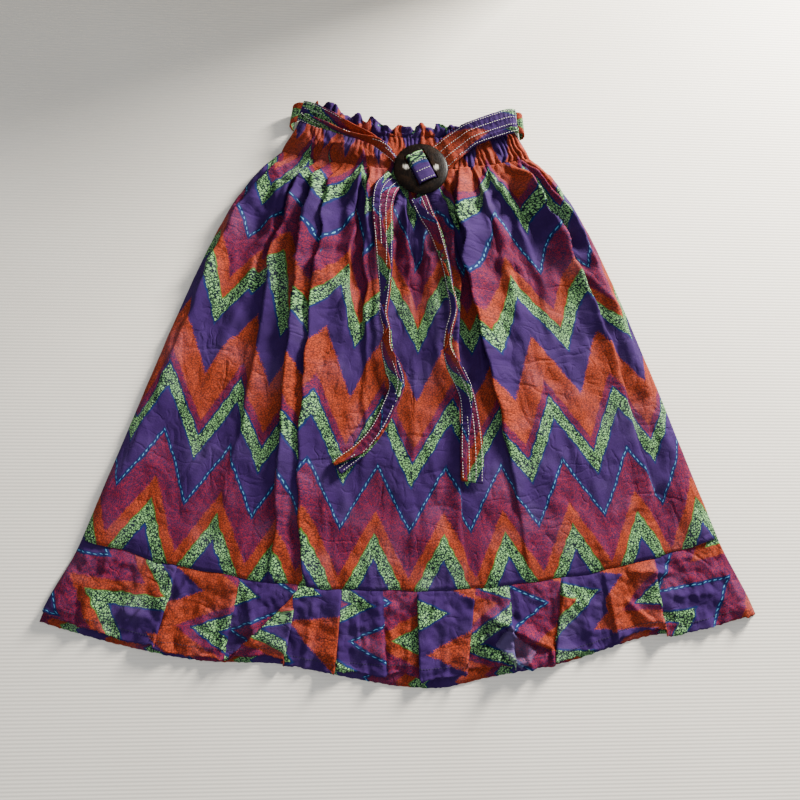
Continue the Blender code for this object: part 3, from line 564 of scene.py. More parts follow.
# The belt, as in the part; folded is the share of the strip's width that is folded over, once or to
# and fro, and open the angle in degrees that it stands off the lowest layer
Strip = namedtuple("Strip", "x y half_width runs leans lift folded open")
BELT_RIGHT = (
    Strip(0.026, 0.262, 0.0175, 116, 0, 0.0006, 0.04, 6),
    Strip(0.045, 0.275, 0.0170, 118, 3, 0.0012, 0.04, 8),
    Strip(0.066, 0.291, 0.0150, 121, 14, 0.0020, 0.10, 12),
    Strip(0.085, 0.300, 0.0140, 119, 22, 0.0034, 0.16, 18),
    Strip(0.103, 0.308, 0.0140, 114, 26, 0.0042, 0.20, 22),
    Strip(0.120, 0.315, 0.0140, 108, 26, 0.0042, 0.20, 20),
    Strip(0.132, 0.318, 0.0135, 100, 20, 0.0030, 0.16, 12),
)
BELT_LEFT = (
    Strip(0.004, 0.255, 0.0130, 117, 0, 0.0004, 0.30, 4),
    Strip(-0.012, 0.265, 0.0100, 114, 4, 0.0006, 0.46, 6),
    Strip(-0.024, 0.276, 0.0085, 112, 26, 0.0034, 0.50, 16),
    Strip(-0.042, 0.288, 0.0080, 102, 54, 0.0060, 0.50, 36),
    Strip(-0.066, 0.298, 0.0090, 84, 60, 0.0068, 0.50, 48),
    Strip(-0.090, 0.307, 0.0110, 68, 44, 0.0064, 0.44, 52),
    Strip(-0.110, 0.316, 0.0125, 61, 30, 0.0050, 0.36, 48),
    Strip(-0.127, 0.323, 0.0120, 66, 20, 0.0032, 0.25, 16),
)
TAIL_LEFT = (
    Strip(-0.0155, 0.241, 0.0120, -53, 0, 0.0004, 0.20, 4),
    Strip(-0.0250, 0.225, 0.0135, -22, 4, 0.0020, 0.24, 5),
    Strip(-0.0290, 0.200, 0.0120, 4, 6, 0.0024, 0.28, 6),
    Strip(-0.0275, 0.165, 0.0105, 3, 8, 0.0024, 0.38, 8),
    Strip(-0.0260, 0.130, 0.0085, 3, 12, 0.0022, 0.48, 10),
    Strip(-0.0255, 0.100, 0.0060, 2, 18, 0.0026, 0.62, 12),
    Strip(-0.027, 0.075, 0.0045, 0, 22, 0.0030, 0.72, 12),
    Strip(-0.023, 0.056, 0.0045, -2, 22, 0.0030, 0.72, 12),
    Strip(-0.023, 0.035, 0.0065, 12, 20, 0.0030, 0.60, 14),
    Strip(-0.016, 0.012, 0.0090, 14, 16, 0.0026, 0.44, 14),
    Strip(-0.012, -0.008, 0.0085, -2, 18, 0.0026, 0.48, 14),
    Strip(-0.020, -0.031, 0.0080, -28, 20, 0.0028, 0.52, 14),
    Strip(-0.033, -0.057, 0.0075, -38, 20, 0.0028, 0.54, 14),
    Strip(-0.050, -0.078, 0.0080, -46, 18, 0.0026, 0.50, 14),
    Strip(-0.077, -0.099, 0.0090, -52, 20, 0.0020, 0.30, 20),
)
TAIL_RIGHT = (
    Strip(0.013, 0.217, 0.0100, 20, 8, 0.0010, 0.20, 6),
    Strip(0.022, 0.192, 0.0085, 26, 20, 0.0028, 0.42, 12),
    Strip(0.033, 0.170, 0.0070, 24, 26, 0.0030, 0.56, 14),
    Strip(0.042, 0.140, 0.0050, 15, 26, 0.0030, 0.68, 14),
    Strip(0.048, 0.105, 0.0040, 9, 24, 0.0030, 0.74, 12),
    Strip(0.052, 0.078, 0.0040, 0, 24, 0.0030, 0.74, 12),
    Strip(0.047, 0.056, 0.0042, -16, 24, 0.0030, 0.72, 12),
    Strip(0.045, 0.036, 0.0048, 2, 24, 0.0030, 0.70, 14),
    Strip(0.051, 0.016, 0.0080, 22, 20, 0.0028, 0.50, 14),
    Strip(0.060, -0.004, 0.0085, 22, 20, 0.0028, 0.48, 14),
    Strip(0.066, -0.022, 0.0085, 12, 18, 0.0026, 0.46, 12),
    Strip(0.069, -0.050, 0.0105, 4, 12, 0.0018, 0.34, 8),
    Strip(0.070, -0.082, 0.0125, -4, 4, 0.0010, 0.22, 6),
    Strip(0.070, -0.114, 0.0120, -8, 0, 0.0006, 0.20, 5),
)
Turn = namedtuple("Turn", "x y z runs leans")
TURN_RIGHT = (
    Turn(0.1330, 0.3180, 0.0150, 100, 20), Turn(0.1375, 0.3175, 0.0146, 98, 16),
    Turn(0.1402, 0.3170, 0.0118, 97, 10), Turn(0.1410, 0.3165, 0.0080, 96, 4),
    Turn(0.1402, 0.3160, 0.0040, 96, 0), Turn(0.1375, 0.3160, 0.0013, 96, 0),
)
TURN_LEFT = (
    Turn(-0.1276, 0.3233, 0.0150, 66, 20), Turn(-0.1340, 0.3230, 0.0144, 74, 16),
    Turn(-0.1382, 0.3220, 0.0118, 80, 10), Turn(-0.1394, 0.3210, 0.0080, 82, 4),
    Turn(-0.1384, 0.3200, 0.0040, 84, 0), Turn(-0.1362, 0.3190, 0.0013, 84, 0),
)
TURN_HALF_WIDTH = 0.0120
SEAT_REACH = 6              # steps to either side over which a strip's seat is evened out
BELT_WIDTH = 0.038
BUCKLE_RADIUS, BUCKLE_HEIGHT = 0.0325, 0.0055
BUCKLE_CENTRE, BUCKLE_UNDER, BUCKLE_TURN = (0.016, 0.254), 0.0135, 26.0
# Half of the buckle's section from the middle of its face round to its back, as shares of radius and height
BUCKLE_SECTION = ((0.0, 1.0), (0.18, 0.99), (0.36, 0.955), (0.52, 0.90), (0.66, 0.82), (0.78, 0.72),
                  (0.88, 0.59), (0.95, 0.45), (0.99, 0.31), (1.0, 0.20), (0.985, 0.09), (0.95, 0.02),
                  (0.90, 0.0), (0.0, 0.0))
SLOT_APART, SLOT_SIZE = 0.0195, (0.0065, 0.041)
GLINT_OFF, GLINT_SIZE = 0.0175, 0.0040     # two painted highlights on the buckle: pale spots that stand in for glints


class Wire:
    """A shader socket that plain arithmetic works on."""

    def __init__(self, tree, socket):
        self.tree, self.socket = tree, socket

    def math(self, operation, *others, first=None):
        node = self.tree.nodes.new("ShaderNodeMath")
        node.operation = operation
        operands = (first, self, *others) if first is not None else (self, *others)
        for slot, value in zip(node.inputs, operands):
            plug(self.tree, slot, value)
        return Wire(self.tree, node.outputs[0])

    def __add__(self, other):
        return self.math("ADD", other)

    __radd__ = __add__

    def __sub__(self, other):
        return self.math("SUBTRACT", other)

    def __rsub__(self, other):
        return self.math("SUBTRACT", first=other)

    def __mul__(self, other):
        return self.math("MULTIPLY", other)

    __rmul__ = __mul__

    def __truediv__(self, other):
        return self.math("DIVIDE", other)

    def __abs__(self):
        return self.math("ABSOLUTE")

    def within(self, low, high):
        """0 at low, 1 at high, straight between; high may be the lower."""
        share = (self - low) / (high - low)
        return share.math("MINIMUM", 1.0).math("MAXIMUM", 0.0)


def plug(tree, slot, value):
    if isinstance(value, Wire):
        tree.links.new(value.socket, slot)
    else:
        slot.default_value = value


class Net:
    """A material's nodes, made one call each."""

    def __init__(self, name, roughness, specular=0.3):
        self.material = bpy.data.materials.new(name)
        self.material.use_nodes = True
        self.tree = self.material.node_tree
        self.shader = self.tree.nodes["Principled BSDF"]
        self.set("Roughness", roughness)
        self.set("Specular IOR Level", specular)

    def set(self, name, value):
        plug(self.tree, self.shader.inputs[name], value)

    def node(self, kind, output=0, settings=(), **inputs):
        node = self.tree.nodes.new("ShaderNode" + kind)
        for name, value in dict(settings).items():
            setattr(node, name, value)
        for name, value in inputs.items():
            plug(self.tree, node.inputs[name.replace("_", " ")], value)
        return Wire(self.tree, node.outputs[output])

    def vector(self, x, y, z=0.0):
        return self.node("CombineXYZ", X=x, Y=y, Z=z)

    def split(self, vector):
        parts = self.tree.nodes.new("ShaderNodeSeparateXYZ")
        plug(self.tree, parts.inputs[0], vector)
        return [Wire(self.tree, out) for out in parts.outputs]

    def mix(self, share, a, b):
        node = self.tree.nodes.new("ShaderNodeMix")
        node.data_type = "RGBA"
        # the factor, and the two colour sockets
        for slot, value in ((node.inputs[0], share), (node.inputs[6], a), (node.inputs[7], b)):
            plug(self.tree, slot, value)
        return Wire(self.tree, node.outputs[2])

    def bands(self, share, stops):
        """Flat colours, each from its stop on."""
        node = self.tree.nodes.new("ShaderNodeValToRGB")
        ramp = node.color_ramp
        ramp.interpolation = "CONSTANT"
        while len(ramp.elements) < len(stops):
            ramp.elements.new(1.0)
        for element, (place, colour) in zip(ramp.elements, stops):
            element.position, element.color = place, colour
        plug(self.tree, node.inputs[0], share)
        return Wire(self.tree, node.outputs[0])

    def bump(self, height, strength, distance):
        normal = self.node("Bump", Height=height, Strength=strength, Distance=distance)
        self.set("Normal", normal)


def tint(text):
    """A linear colour from the usual six hex digits."""
    parts = [int(text[k:k + 2], 16) / 255 for k in (0, 2, 4)]
    return (*[c / 12.92 if c <= 0.04045 else ((c + 0.055) / 1.055) ** 2.4 for c in parts], 1.0)


# One row a band of the print, from a dashed line down: where it begins in mm, its two colours, and
# which drawing parts them: squiggles, leaves, flecks or haze
Band = namedtuple("Band", "start ground figure drawing")
NAVY, BLUE = ("0B1238", "0D1F52"), ("0A1842", "0E2050")
MAUVE, LEAF = ("2B1032", "7A1428"), ("06121E", "74A263")
MOSS = "4C6018", "2E5424"
PURPLE = "240E3D", "2F164D"
ORANGE = "8E3216", "441A10"
BANDS = (
    Band(0.0, *NAVY, "haze"),
    Band(3.6, *MAUVE, "squiggles"),
    Band(50.0, *ORANGE, "flecks"),
    Band(73.0, *MOSS, "haze"),
    Band(74.6, *LEAF, "leaves"),
    Band(100.0, *BLUE, "haze"),
    Band(103.0, *PURPLE, "haze"),
    Band(151.0, *ORANGE, "flecks"),
    Band(202.0, *MAUVE, "squiggles"),
    Band(216.0, *BLUE, "haze"),
    Band(220.0, *LEAF, "leaves"),
    Band(243.5, *BLUE, "haze"),
    Band(246.5, *PURPLE, "haze"),
    Band(288.4, *NAVY, "haze"),
)
SOFT_EDGES = (50.0, 151.0, 202.0)       # bands that run into each other softly, in mm
DRAWINGS = {"squiggles": (1, 0, 0, 1), "leaves": (0, 1, 0, 1), "flecks": (0, 0, 1, 1), "haze": (0, 0, 0, 1)}
# Small creases in the cloth's relief, one row a size: scale, depth, and the pattern's scale down the cloth
SMALL_CREASES = ((0.022, 0.85, 420), (0.034, 0.65, 420), (0.060, 0.40, 600), (0.013, 0.80, 2000),
                 (0.024, 0.40, 2200))
DASH = 0.0029               # across the cloth; along a zigzag's side it is twice as long


def printed_cotton(name):
    """The zigzag print, from a piece's own cloth coordinates in metres."""
    net = Net(name, 0.85, 0.12)
    place = net.node("UVMap", settings={"uv_map": "cloth"})
    u, v, _ = net.split(place)
    grain = net.vector(u * 1000, v * 1000)
    sway = net.node("TexNoise", 1, Vector=grain, Scale=0.09, Detail=2.0)
    sway_u, sway_v, _ = net.split(sway)
    u = u + (sway_u - 0.5) * 0.004
    v = v + (sway_v - 0.5) * 0.005
    peak = abs((u / COLUMN).math("FRACT") - 0.5) * 2
    share = ((v - (LINE_MIDDLE - ZIGZAG / 2) - peak * ZIGZAG) / REPEAT).math("FRACT")

    ragged = net.node("TexNoise", 0, Vector=grain, Scale=0.9, Detail=1.0)
    feathered = 0
    for edge in SOFT_EDGES:
        feathered = feathered + abs(share - edge / 1000 / REPEAT).within(0.024, 0.014)
    share = share + (ragged - 0.5) * feathered * 0.050

    squiggle = net.node("TexNoise", 0, Vector=grain, Scale=0.62, Detail=1.0, Distortion=1.2)
    squiggle = abs(squiggle - 0.5).within(0.065, 0.030)
    leaf = net.node("TexVoronoi", 0, {"feature": "DISTANCE_TO_EDGE"}, Vector=grain, Scale=0.42)
    leaf = (leaf + (ragged - 0.5) * 0.45).within(0.10, 0.18)
    fleck = net.node("TexVoronoi", 0, {"feature": "DISTANCE_TO_EDGE"}, Vector=grain, Scale=0.42)
    fleck = (fleck + (ragged - 0.5) * 0.45).within(0.16, 0.05) * 0.85
    haze = net.node("TexNoise", 0, Vector=grain, Scale=0.14, Detail=3.0)

    stops = [row.start / 1000 / REPEAT for row in BANDS]
    ground = net.bands(share, [(at, tint(row.ground)) for at, row in zip(stops, BANDS)])
    figure = net.bands(share, [(at, tint(row.figure)) for at, row in zip(stops, BANDS)])
    drawing = net.bands(share, [(at, DRAWINGS[row.drawing]) for at, row in zip(stops, BANDS)])
    squiggled, leafed, flecked = net.split(drawing)
    plain = (1 - squiggled) * (1 - leafed) * (1 - flecked)
    drawn = squiggled * squiggle + leafed * leaf + flecked * fleck + plain * haze
    colour = net.mix(drawn, ground, figure)

    from_line = abs(abs(share - 0.5) - 0.5) * REPEAT
    dash = (u / DASH).math("FRACT").within(0.56, 0.50) * from_line.within(0.0011, 0.0006)
    colour = net.mix(dash, colour, tint("4C88A8"))

    patch = net.node("TexNoise", 0, Vector=grain, Scale=0.02, Detail=2.0)
    speck = net.node("TexNoise", 0, Vector=grain, Scale=1.6, Detail=2.0)
    fade = (patch - 0.5) * 0.5 + (speck - 0.5) * 0.35
    colour = net.mix(fade.within(0.0, 0.9), colour, tint("6A5A80"))
    colour = net.mix((fade * -1).within(0.0, 0.5), colour, tint("0C0A14"))
    colour = net.mix(u.within(5.0, 5.1) * 0.24, colour, tint("7A6C92"))
    net.set("Base Color", colour)

    warp = (u * (2 * math.pi / 0.0009)).math("SINE")
    weft = (v * (2 * math.pi / 0.0009)).math("SINE")
    slub = net.node("TexNoise", 0, Vector=grain, Scale=0.5, Detail=4.0)
    height = warp * weft * 0.04 + slub * 0.18
    for scale, deep, down_scale in SMALL_CREASES:
        fold_place = net.vector(u * 1000 + scale * 9000, v * down_scale)
        fold = net.node("TexNoise", 0, Vector=fold_place, Scale=scale, Detail=1.5)
        where_place = net.vector(u * 1000, v * 1000 + scale * 7000)
        where = net.node("TexNoise", 0, Vector=where_place, Scale=scale * 0.7)
        height = height - abs(fold - 0.5).within(0.05, 0.0) * where.within(0.45, 0.62) * deep
    net.bump(height, 1.0, 0.0011)
    return net.material


def thread(name, light, dark):
    net = Net(name, 0.7)
    place = net.node("TexCoord", 3)
    twist = net.node("TexNoise", 0, Vector=place, Scale=2500.0, Detail=2.0)
    net.set("Base Color", net.mix(twist, tint(light), tint(dark)))
    net.bump(twist, 0.3, 0.0002)
    return net.material


def coconut_shell(name):
    """Dark polished shell: fine fibres, pale flecks and scratches, and two painted highlights."""
    net = Net(name, 0.3, 0.06)
    place = net.node("TexCoord", 3)
    x, y, z = net.split(place)
    turn = math.radians(BUCKLE_TURN + 60)
    along = x * math.cos(turn) + y * math.sin(turn)
    off = y * math.cos(turn) - x * math.sin(turn)
    fibre_place = net.vector(along * 160, off * 1100, z * 400)
    fibre = net.node("TexNoise", 0, Vector=fibre_place, Scale=1.0, Detail=4.0)
    cloud = net.node("TexNoise", 0, Vector=place, Scale=90.0, Detail=3.0)
    pore = net.node("TexVoronoi", 0, Vector=net.vector(along * 500, off * 1300, z * 500), Scale=1.0)
    colour = net.mix(fibre.within(0.40, 0.72), tint("040202"), tint("140B06"))
    colour = net.mix(cloud.within(0.50, 0.72) * 0.7, colour, tint("24160B"))
    colour = net.mix(pore.within(0.22, 0.05) * 0.5, colour, tint("4A3A22"))
    # painted highlights: two pale spots mixed into the shell's colour, standing in for glints
    for side in (-1, 1):
        off_x, off_y = x - (BUCKLE_CENTRE[0] + side * GLINT_OFF), y - BUCKLE_CENTRE[1]
        away = (off_x * off_x + off_y * off_y).math("SQRT") + (fibre - 0.5) * 0.010
        colour = net.mix(away.within(GLINT_SIZE, 0.2 * GLINT_SIZE), colour, tint("C4BEB2"))
    net.set("Base Color", colour)
    net.set("Roughness", fibre * 0.16 + cloud * 0.12 + 0.26)
    net.set("Coat Weight", 0.02)
    net.bump(fibre + cloud * 0.7 - pore.within(0.2, 0.05) * 0.4, 0.35, 0.0006)
    return net.material


def painted_floor(name):
    """A pale board with fine ribs from left to right, their valleys painted a little darker as shade."""
    net = Net(name, 0.62, 0.3)
    place = net.node("TexCoord", 3)
    x, y, z = net.split(place)
    ribs = (y * (2 * math.pi / 0.0036)).math("SINE")
    stain = net.node("TexNoise", 0, Vector=place, Scale=5.0, Detail=4.0)
    scuff = net.node("TexNoise", 0, Vector=net.vector(x * 30, y * 400, z), Scale=1.0, Detail=4.0)
    # painted shade: the ribs' valleys a little darker than their tops, on top of their bump
    colour = net.mix(ribs * 0.5 + 0.5, tint("DED8CB"), tint("E4DDD0"))
    colour = net.mix(stain.within(0.4, 0.8) * 0.25, colour, tint("C8BEAE"))
    colour = net.mix(scuff.within(0.6, 0.8) * 0.10, colour, tint("F4F1EC"))
    net.set("Base Color", colour)
    net.bump(ribs + scuff * 0.6, 0.2, 0.0004)
    return net.material


def made(name, shape):
    """An object of a bmesh, which is used up."""
    mesh = bpy.data.meshes.new(name)
    shape.to_mesh(mesh)
    shape.free()
    piece = bpy.data.objects.new(name, mesh)
    bpy.context.scene.collection.objects.link(piece)
    return piece


def finish_piece(mesh_piece, node, skin):
    mesh_piece.data.materials.append(skin)
    mesh_piece.data.shade_smooth()
    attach(mesh_piece, "root")
    if node:
        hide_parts(node)
    return mesh_piece


def cloth(name, columns, rows, place, node, skin, wall=SHEET_WALL, cuts=None):
    """A fine sheet over a grid: place gives x, y, z and the cloth coordinates."""
    grid = bmesh.new()
    bmesh.ops.create_grid(grid, x_segments=columns, y_segments=rows, size=0.5)
    piece = made(name, grid)
    mesh = piece.data
    flat = np.empty(len(mesh.vertices) * 3)
    mesh.vertices.foreach_get("co", flat)
    flat = flat.reshape(-1, 3)
    across, down = flat[:, 0] + 0.5, 0.5 - flat[:, 1]
    x, y, z, u, v = place(across, down)
    mesh.vertices.foreach_set("co", np.stack([x, y, z], axis=1).ravel())
    corner = np.empty(len(mesh.loops), int)
    mesh.loops.foreach_get("vertex_index", corner)
    u, v = u[corner], v[corner]
    if cuts:
        u, v = cuts(u, v)
    mesh.uv_layers.new(name="cloth")
    mesh.uv_layers["cloth"].data.foreach_set("uv", np.stack([u, v], axis=1).ravel())
    mesh.update()
    shell = piece.modifiers.new("wall", "SOLIDIFY")
    shell.thickness, shell.offset = wall, 1.0
    return finish_piece(piece, node, skin)


def ruffle_cuts(angle, radius):
    """Turns corners' angles and radii into cloth coordinates, each face from its own pleat."""
    middle = angle.reshape(-1, 4).mean(axis=1).repeat(4)
    down = (radius.reshape(-1, 4).mean(axis=1).repeat(4) - R_RUFFLE) / (R_HEM - R_RUFFLE)
    u, v = np.zeros_like(angle), np.zeros_like(angle)
    for row in CUTS:
        # the steep side of a pleat belongs to the cloth that stands over it
        steep = math.degrees(CUT_SPREAD * (1 - abs(row.lean)) / R_RUFFLE_MIDDLE)
        steep = steep * (1 if row.lean > 0 else -1)
        here = middle >= cut_line(row, down) + (steep if row.height else 0)
        cut_u, cut_v = ruffle_print(radius, angle, row)
        u, v = np.where(here, cut_u, u), np.where(here, cut_v, v)
    over = turned_over(radius.reshape(-1, 4).mean(axis=1).repeat(4), middle)
    return np.where(over > 0, u % COLUMN + WRONG_SIDE, u), v


def tree_of(piece):
    bpy.context.view_layer.update()
    return BVHTree.FromObject(piece, bpy.context.evaluated_depsgraph_get())


def highest(trees, x, y, reach):
    top = 0.0
    for ring in range(5):
        for k in range(12):
            a = math.radians(30 * k)
            start = Vector((x + reach * ring / 4 * math.cos(a), y + reach * ring / 4 * math.sin(a), 0.2))
            for tree in trees:
                hit = tree.ray_cast(start, Vector((0, 0, -1)))[0]
                if hit is not None:
                    top = max(top, hit.z)
    return top


class Ribbon:
    """A strip of belt folded along its length, laid over the cloth under it."""

    def __init__(self, table, trees, steps=160):
        self.share = np.linspace(0, 1, steps)
        knots = np.linspace(0, 1, len(table))
        columns = [through(self.share, knots, column) for column in zip(*table)]
        self.x, self.y, self.half, runs, leans, lift, self.folded, opened = columns
        self.runs, self.lean, self.opened = np.radians(runs), np.radians(leans), np.radians(opened)
        seat = [highest(trees, x, y, half + 0.001) for x, y, half in zip(self.x, self.y, self.half)]

        def nearby(values):
            padded = np.pad(values, SEAT_REACH, mode="edge")
            return [padded[k:k + 2 * SEAT_REACH + 1] for k in range(steps)]

        seat = np.array([near.max() for near in nearby(seat)])
        seat = np.array([near.mean() for near in nearby(seat)])
        rise = self.half * np.sin(self.lean)
        low = seat + GAP + BELT_WALL / 2 + np.maximum(lift, rise) - rise
        # close to the buckle the strip goes down under it
        away = np.hypot(self.x - BUCKLE_CENTRE[0], self.y - BUCKLE_CENTRE[1])
        self.low = np.minimum(low, BUCKLE_UNDER - 0.0022 + np.maximum(away - 1.1 * BUCKLE_RADIUS, 0) * 0.5)
        self.length = np.concatenate([[0], np.cumsum(np.hypot(np.diff(self.x), np.diff(self.y)))])

    def at(self, along, across):
        """Places for shares along, and across from -1, one edge, to 1, the other."""
        def read(column):
            return np.interp(along, self.share, column)

        half, runs, lean, low = read(self.half), read(self.runs), read(self.lean), read(self.low)
        main = 1 - read(self.folded)
        layers = (across + 1) / 2 / main
        layer = np.floor(layers)
        lean = np.where(layer > 0, lean + read(self.opened), lean)
        reach = np.abs(1 - layers % 2) * 2 * half
        from_fold = reach * np.cos(lean) - half * np.cos(read(self.lean))
        x = read(self.x) + from_fold * np.cos(runs)
        y = read(self.y) + from_fold * np.sin(runs)
        z = low + reach * np.sin(lean) + 0.0012 * layer
        return x, y, z

    def topmost(self, along, reach):
        """Which layer shows at a reach across the folded strip, 0 to 1, and its place from -1 to 1 across."""
        main = 1 - np.interp(along, self.share, self.folded)
        top = np.ceil(1 / main) - 1
        cover = 1 / main - top
        bare = np.where(top % 2 == 1, reach > cover, reach < 1 - cover)
        layer = np.where(bare, np.maximum(top - 1, 0), top)
        within = np.where(layer % 2 == 1, reach, 1 - reach)
        return layer, 2 * (layer + within) * main - 1


def belt_strip(name, ribbon, skin, node, start, scale, column, slant=1):
    """The cloth of a ribbon; start, scale, column and slant set how the print runs along it."""
    def place(across, down):
        side = 2 * across - 1
        x, y, z = ribbon.at(down, side)
        pull = 0.0005 * np.cos(2 * math.pi * ribbon.length[-1] * down / 0.0066)
        z = z + pull * (1 - np.abs(np.abs(side) - 0.5) * 2) + 0.0008 * rumple(x, y, 0.012, 4.0)
        run = np.interp(down, ribbon.share, ribbon.length)
        u = column * COLUMN + slant * side * BELT_WIDTH / 2
        return x, y, z, u, LINE_MIDDLE - ZIGZAG / 2 + start + scale * run

    rows = max(int(ribbon.length[-1] / 0.0016), 40)
    return cloth(name, 30, rows, place, node, skin, wall=STRIP_WALL)


def unit(vectors):
    return vectors / np.linalg.norm(vectors, axis=1)[:, None]


def stitches(name, runs, skin, length=0.0023, pitch=0.0031, width=0.00036):
    """Topstitching: each run is the points that a row of stitches follows, and which way is up there."""
    ball = bmesh.new()
    bmesh.ops.create_uvsphere(ball, u_segments=6, v_segments=4, radius=1)
    shape = np.array([vert.co for vert in ball.verts])
    faces = [[vert.index for vert in face.verts] for face in ball.faces]
    ball.free()
    verts = []
    for points, ups in runs:
        travelled = np.concatenate([[0], np.cumsum(np.linalg.norm(np.diff(points, axis=0), axis=1))])
        middle = (np.arange(int(travelled[-1] / pitch)) + 0.5) * pitch

        def read(rows, at):
            return np.stack([np.interp(at, travelled, rows[:, i]) for i in range(3)], axis=1)

        run = unit(read(points, middle + length / 2) - read(points, middle - length / 2))
        up = unit(read(ups, middle))
        side = unit(np.cross(up, run))
        spot = read(points, middle) + up * width * 0.4
        for k in range(len(middle)):
            frame_of = np.stack([run[k] * length / 2, side[k] * width, up[k] * width])
            verts.append(shape @ frame_of + spot[k])
    count = len(shape)
    data = bpy.data.meshes.new(name)
    data.from_pydata(np.concatenate(verts).tolist(), [],
                     [[i + k * count for i in face] for k in range(len(verts)) for face in faces])
    piece = bpy.data.objects.new(name, data)
    bpy.context.scene.collection.objects.link(piece)
    return finish_piece(piece, None, skin)


def ribbon_runs(ribbon, rows):
    """Rows of sewing on what shows of a ribbon; a row has its reach across, and the half width it needs."""
    runs = []
    along = np.linspace(0, 1, 400)
    wide = np.interp(along, ribbon.share, ribbon.half)
    for reach, least in rows:
        layer, side = ribbon.topmost(along, np.full_like(along, reach))
        nearer_side = ribbon.topmost(along, np.full_like(along, reach + (0.02 if reach < 0.5 else -0.02)))[1]
        points = np.stack(ribbon.at(along, side), axis=1)
        nearer = np.stack(ribbon.at(along, nearer_side), axis=1)
        run = np.gradient(points, axis=0)
        up = np.cross(run, points - nearer)
        up = up / np.maximum(np.linalg.norm(up, axis=1)[:, None], 1e-9)
        up = up * np.sign(up[:, 2:3] + 1e-9)
        points = points + up * (STRIP_WALL * 1.05)
        key = np.where(wide > least, layer, -1)
        ends = np.flatnonzero(np.diff(key)) + 1
        for part in np.split(np.arange(len(along)), ends):
            if key[part[0]] >= 0 and len(part) > 8:
                part = part[1:-1]
                runs.append((points[part], up[part]))
    return runs


def sheet_run(place, down):
    """A row of sewing across a sheet, at a share of its depth."""
    across = np.linspace(0.03, 0.97, 1500)
    x, y, z = place(across, np.full_like(across, down))[:3]
    return np.stack([x, y, z + 0.0008], axis=1), np.tile([0.0, 0.0, 1.0], (len(x), 1))


def belt_turn(name, table, node, skin):
    """Where the belt rounds the waist's side and goes under the back."""
    def place(across, down):
        knots = np.linspace(0, 1, len(table))
        x, y, z, runs, leans = (through(down, knots, column) for column in zip(*table))
        a, lean = np.radians(runs), np.radians(leans)
        reach = TURN_HALF_WIDTH * (2 * across - 1)
        x, y = x + reach * np.cos(lean) * np.cos(a), y + reach * np.cos(lean) * np.sin(a)
        return x, y, z + reach * np.sin(lean), COLUMN / 2 + reach * 1.5, LINE_MIDDLE + 0.05 + 0.02 * down

    return cloth(name, 12, 24, place, node, skin, wall=TURN_WALL)


def belt_back_at(across, down):
    radius = R_BELT_BACK + 2 * TURN_HALF_WIDTH * (across - 0.5)
    angle = HALF_BELT_BACK * (1 - 2 * down)
    x, y = fan(radius, angle)
    print_down = LINE_MIDDLE + radius * np.radians(angle)
    return x, y, np.full_like(x, 0.0002), (across - 0.5) * BELT_WIDTH, print_down


def along_belt(offset):
    a = math.radians(BUCKLE_TURN)
    return BUCKLE_CENTRE[0] + offset * np.cos(a), BUCKLE_CENTRE[1] + offset * np.sin(a)


TAB_STEPS = ((0.0, -1.0, 0.0), (0.10, -1.0, 0.62), (0.16, -0.97, 0.86), (0.24, -0.80, 0.98), (0.5, 0.0, 1.05),
             (0.76, 0.80, 0.98), (0.84, 0.97, 0.86), (0.90, 1.0, 0.62), (1.0, 1.0, 0.0))


def tab_at(across, down):
    """The belt over the buckle's bar, up through one slot and down the other."""
    shares, offsets, heights = zip(*TAB_STEPS)
    offset = through(down, shares, offsets) * SLOT_APART / 2
    foot = BUCKLE_UNDER + 0.0010
    crown = BUCKLE_UNDER + BUCKLE_HEIGHT + GAP + BELT_WALL / 2
    z = foot + (crown - foot) * through(down, shares, heights)
    side = math.radians(BUCKLE_TURN + 90)
    reach = BELT_WIDTH * (across - 0.5)
    x, y = along_belt(offset)
    x, y = x + reach * math.cos(side), y + reach * math.sin(side)
    z = z + 0.0005 * rumple(x, y, 0.009, 2.0) * (1 - np.abs(2 * down - 1))
    return x, y, z, COLUMN / 2 + 0.2 * offset, LINE_MIDDLE - ZIGZAG / 2 + 0.128 - BELT_WIDTH * across


def tab_runs():
    runs = []
    down = np.linspace(0.17, 0.83, 60)
    for share in (0.05, 0.37, 0.68, 0.95):
        x, y, z, _, _ = tab_at(np.full_like(down, share), down)
        points = np.stack([x, y, z + 0.0011], axis=1)
        runs.append((points, np.tile([0.0, 0.0, 1.0], (len(down), 1))))
    return runs


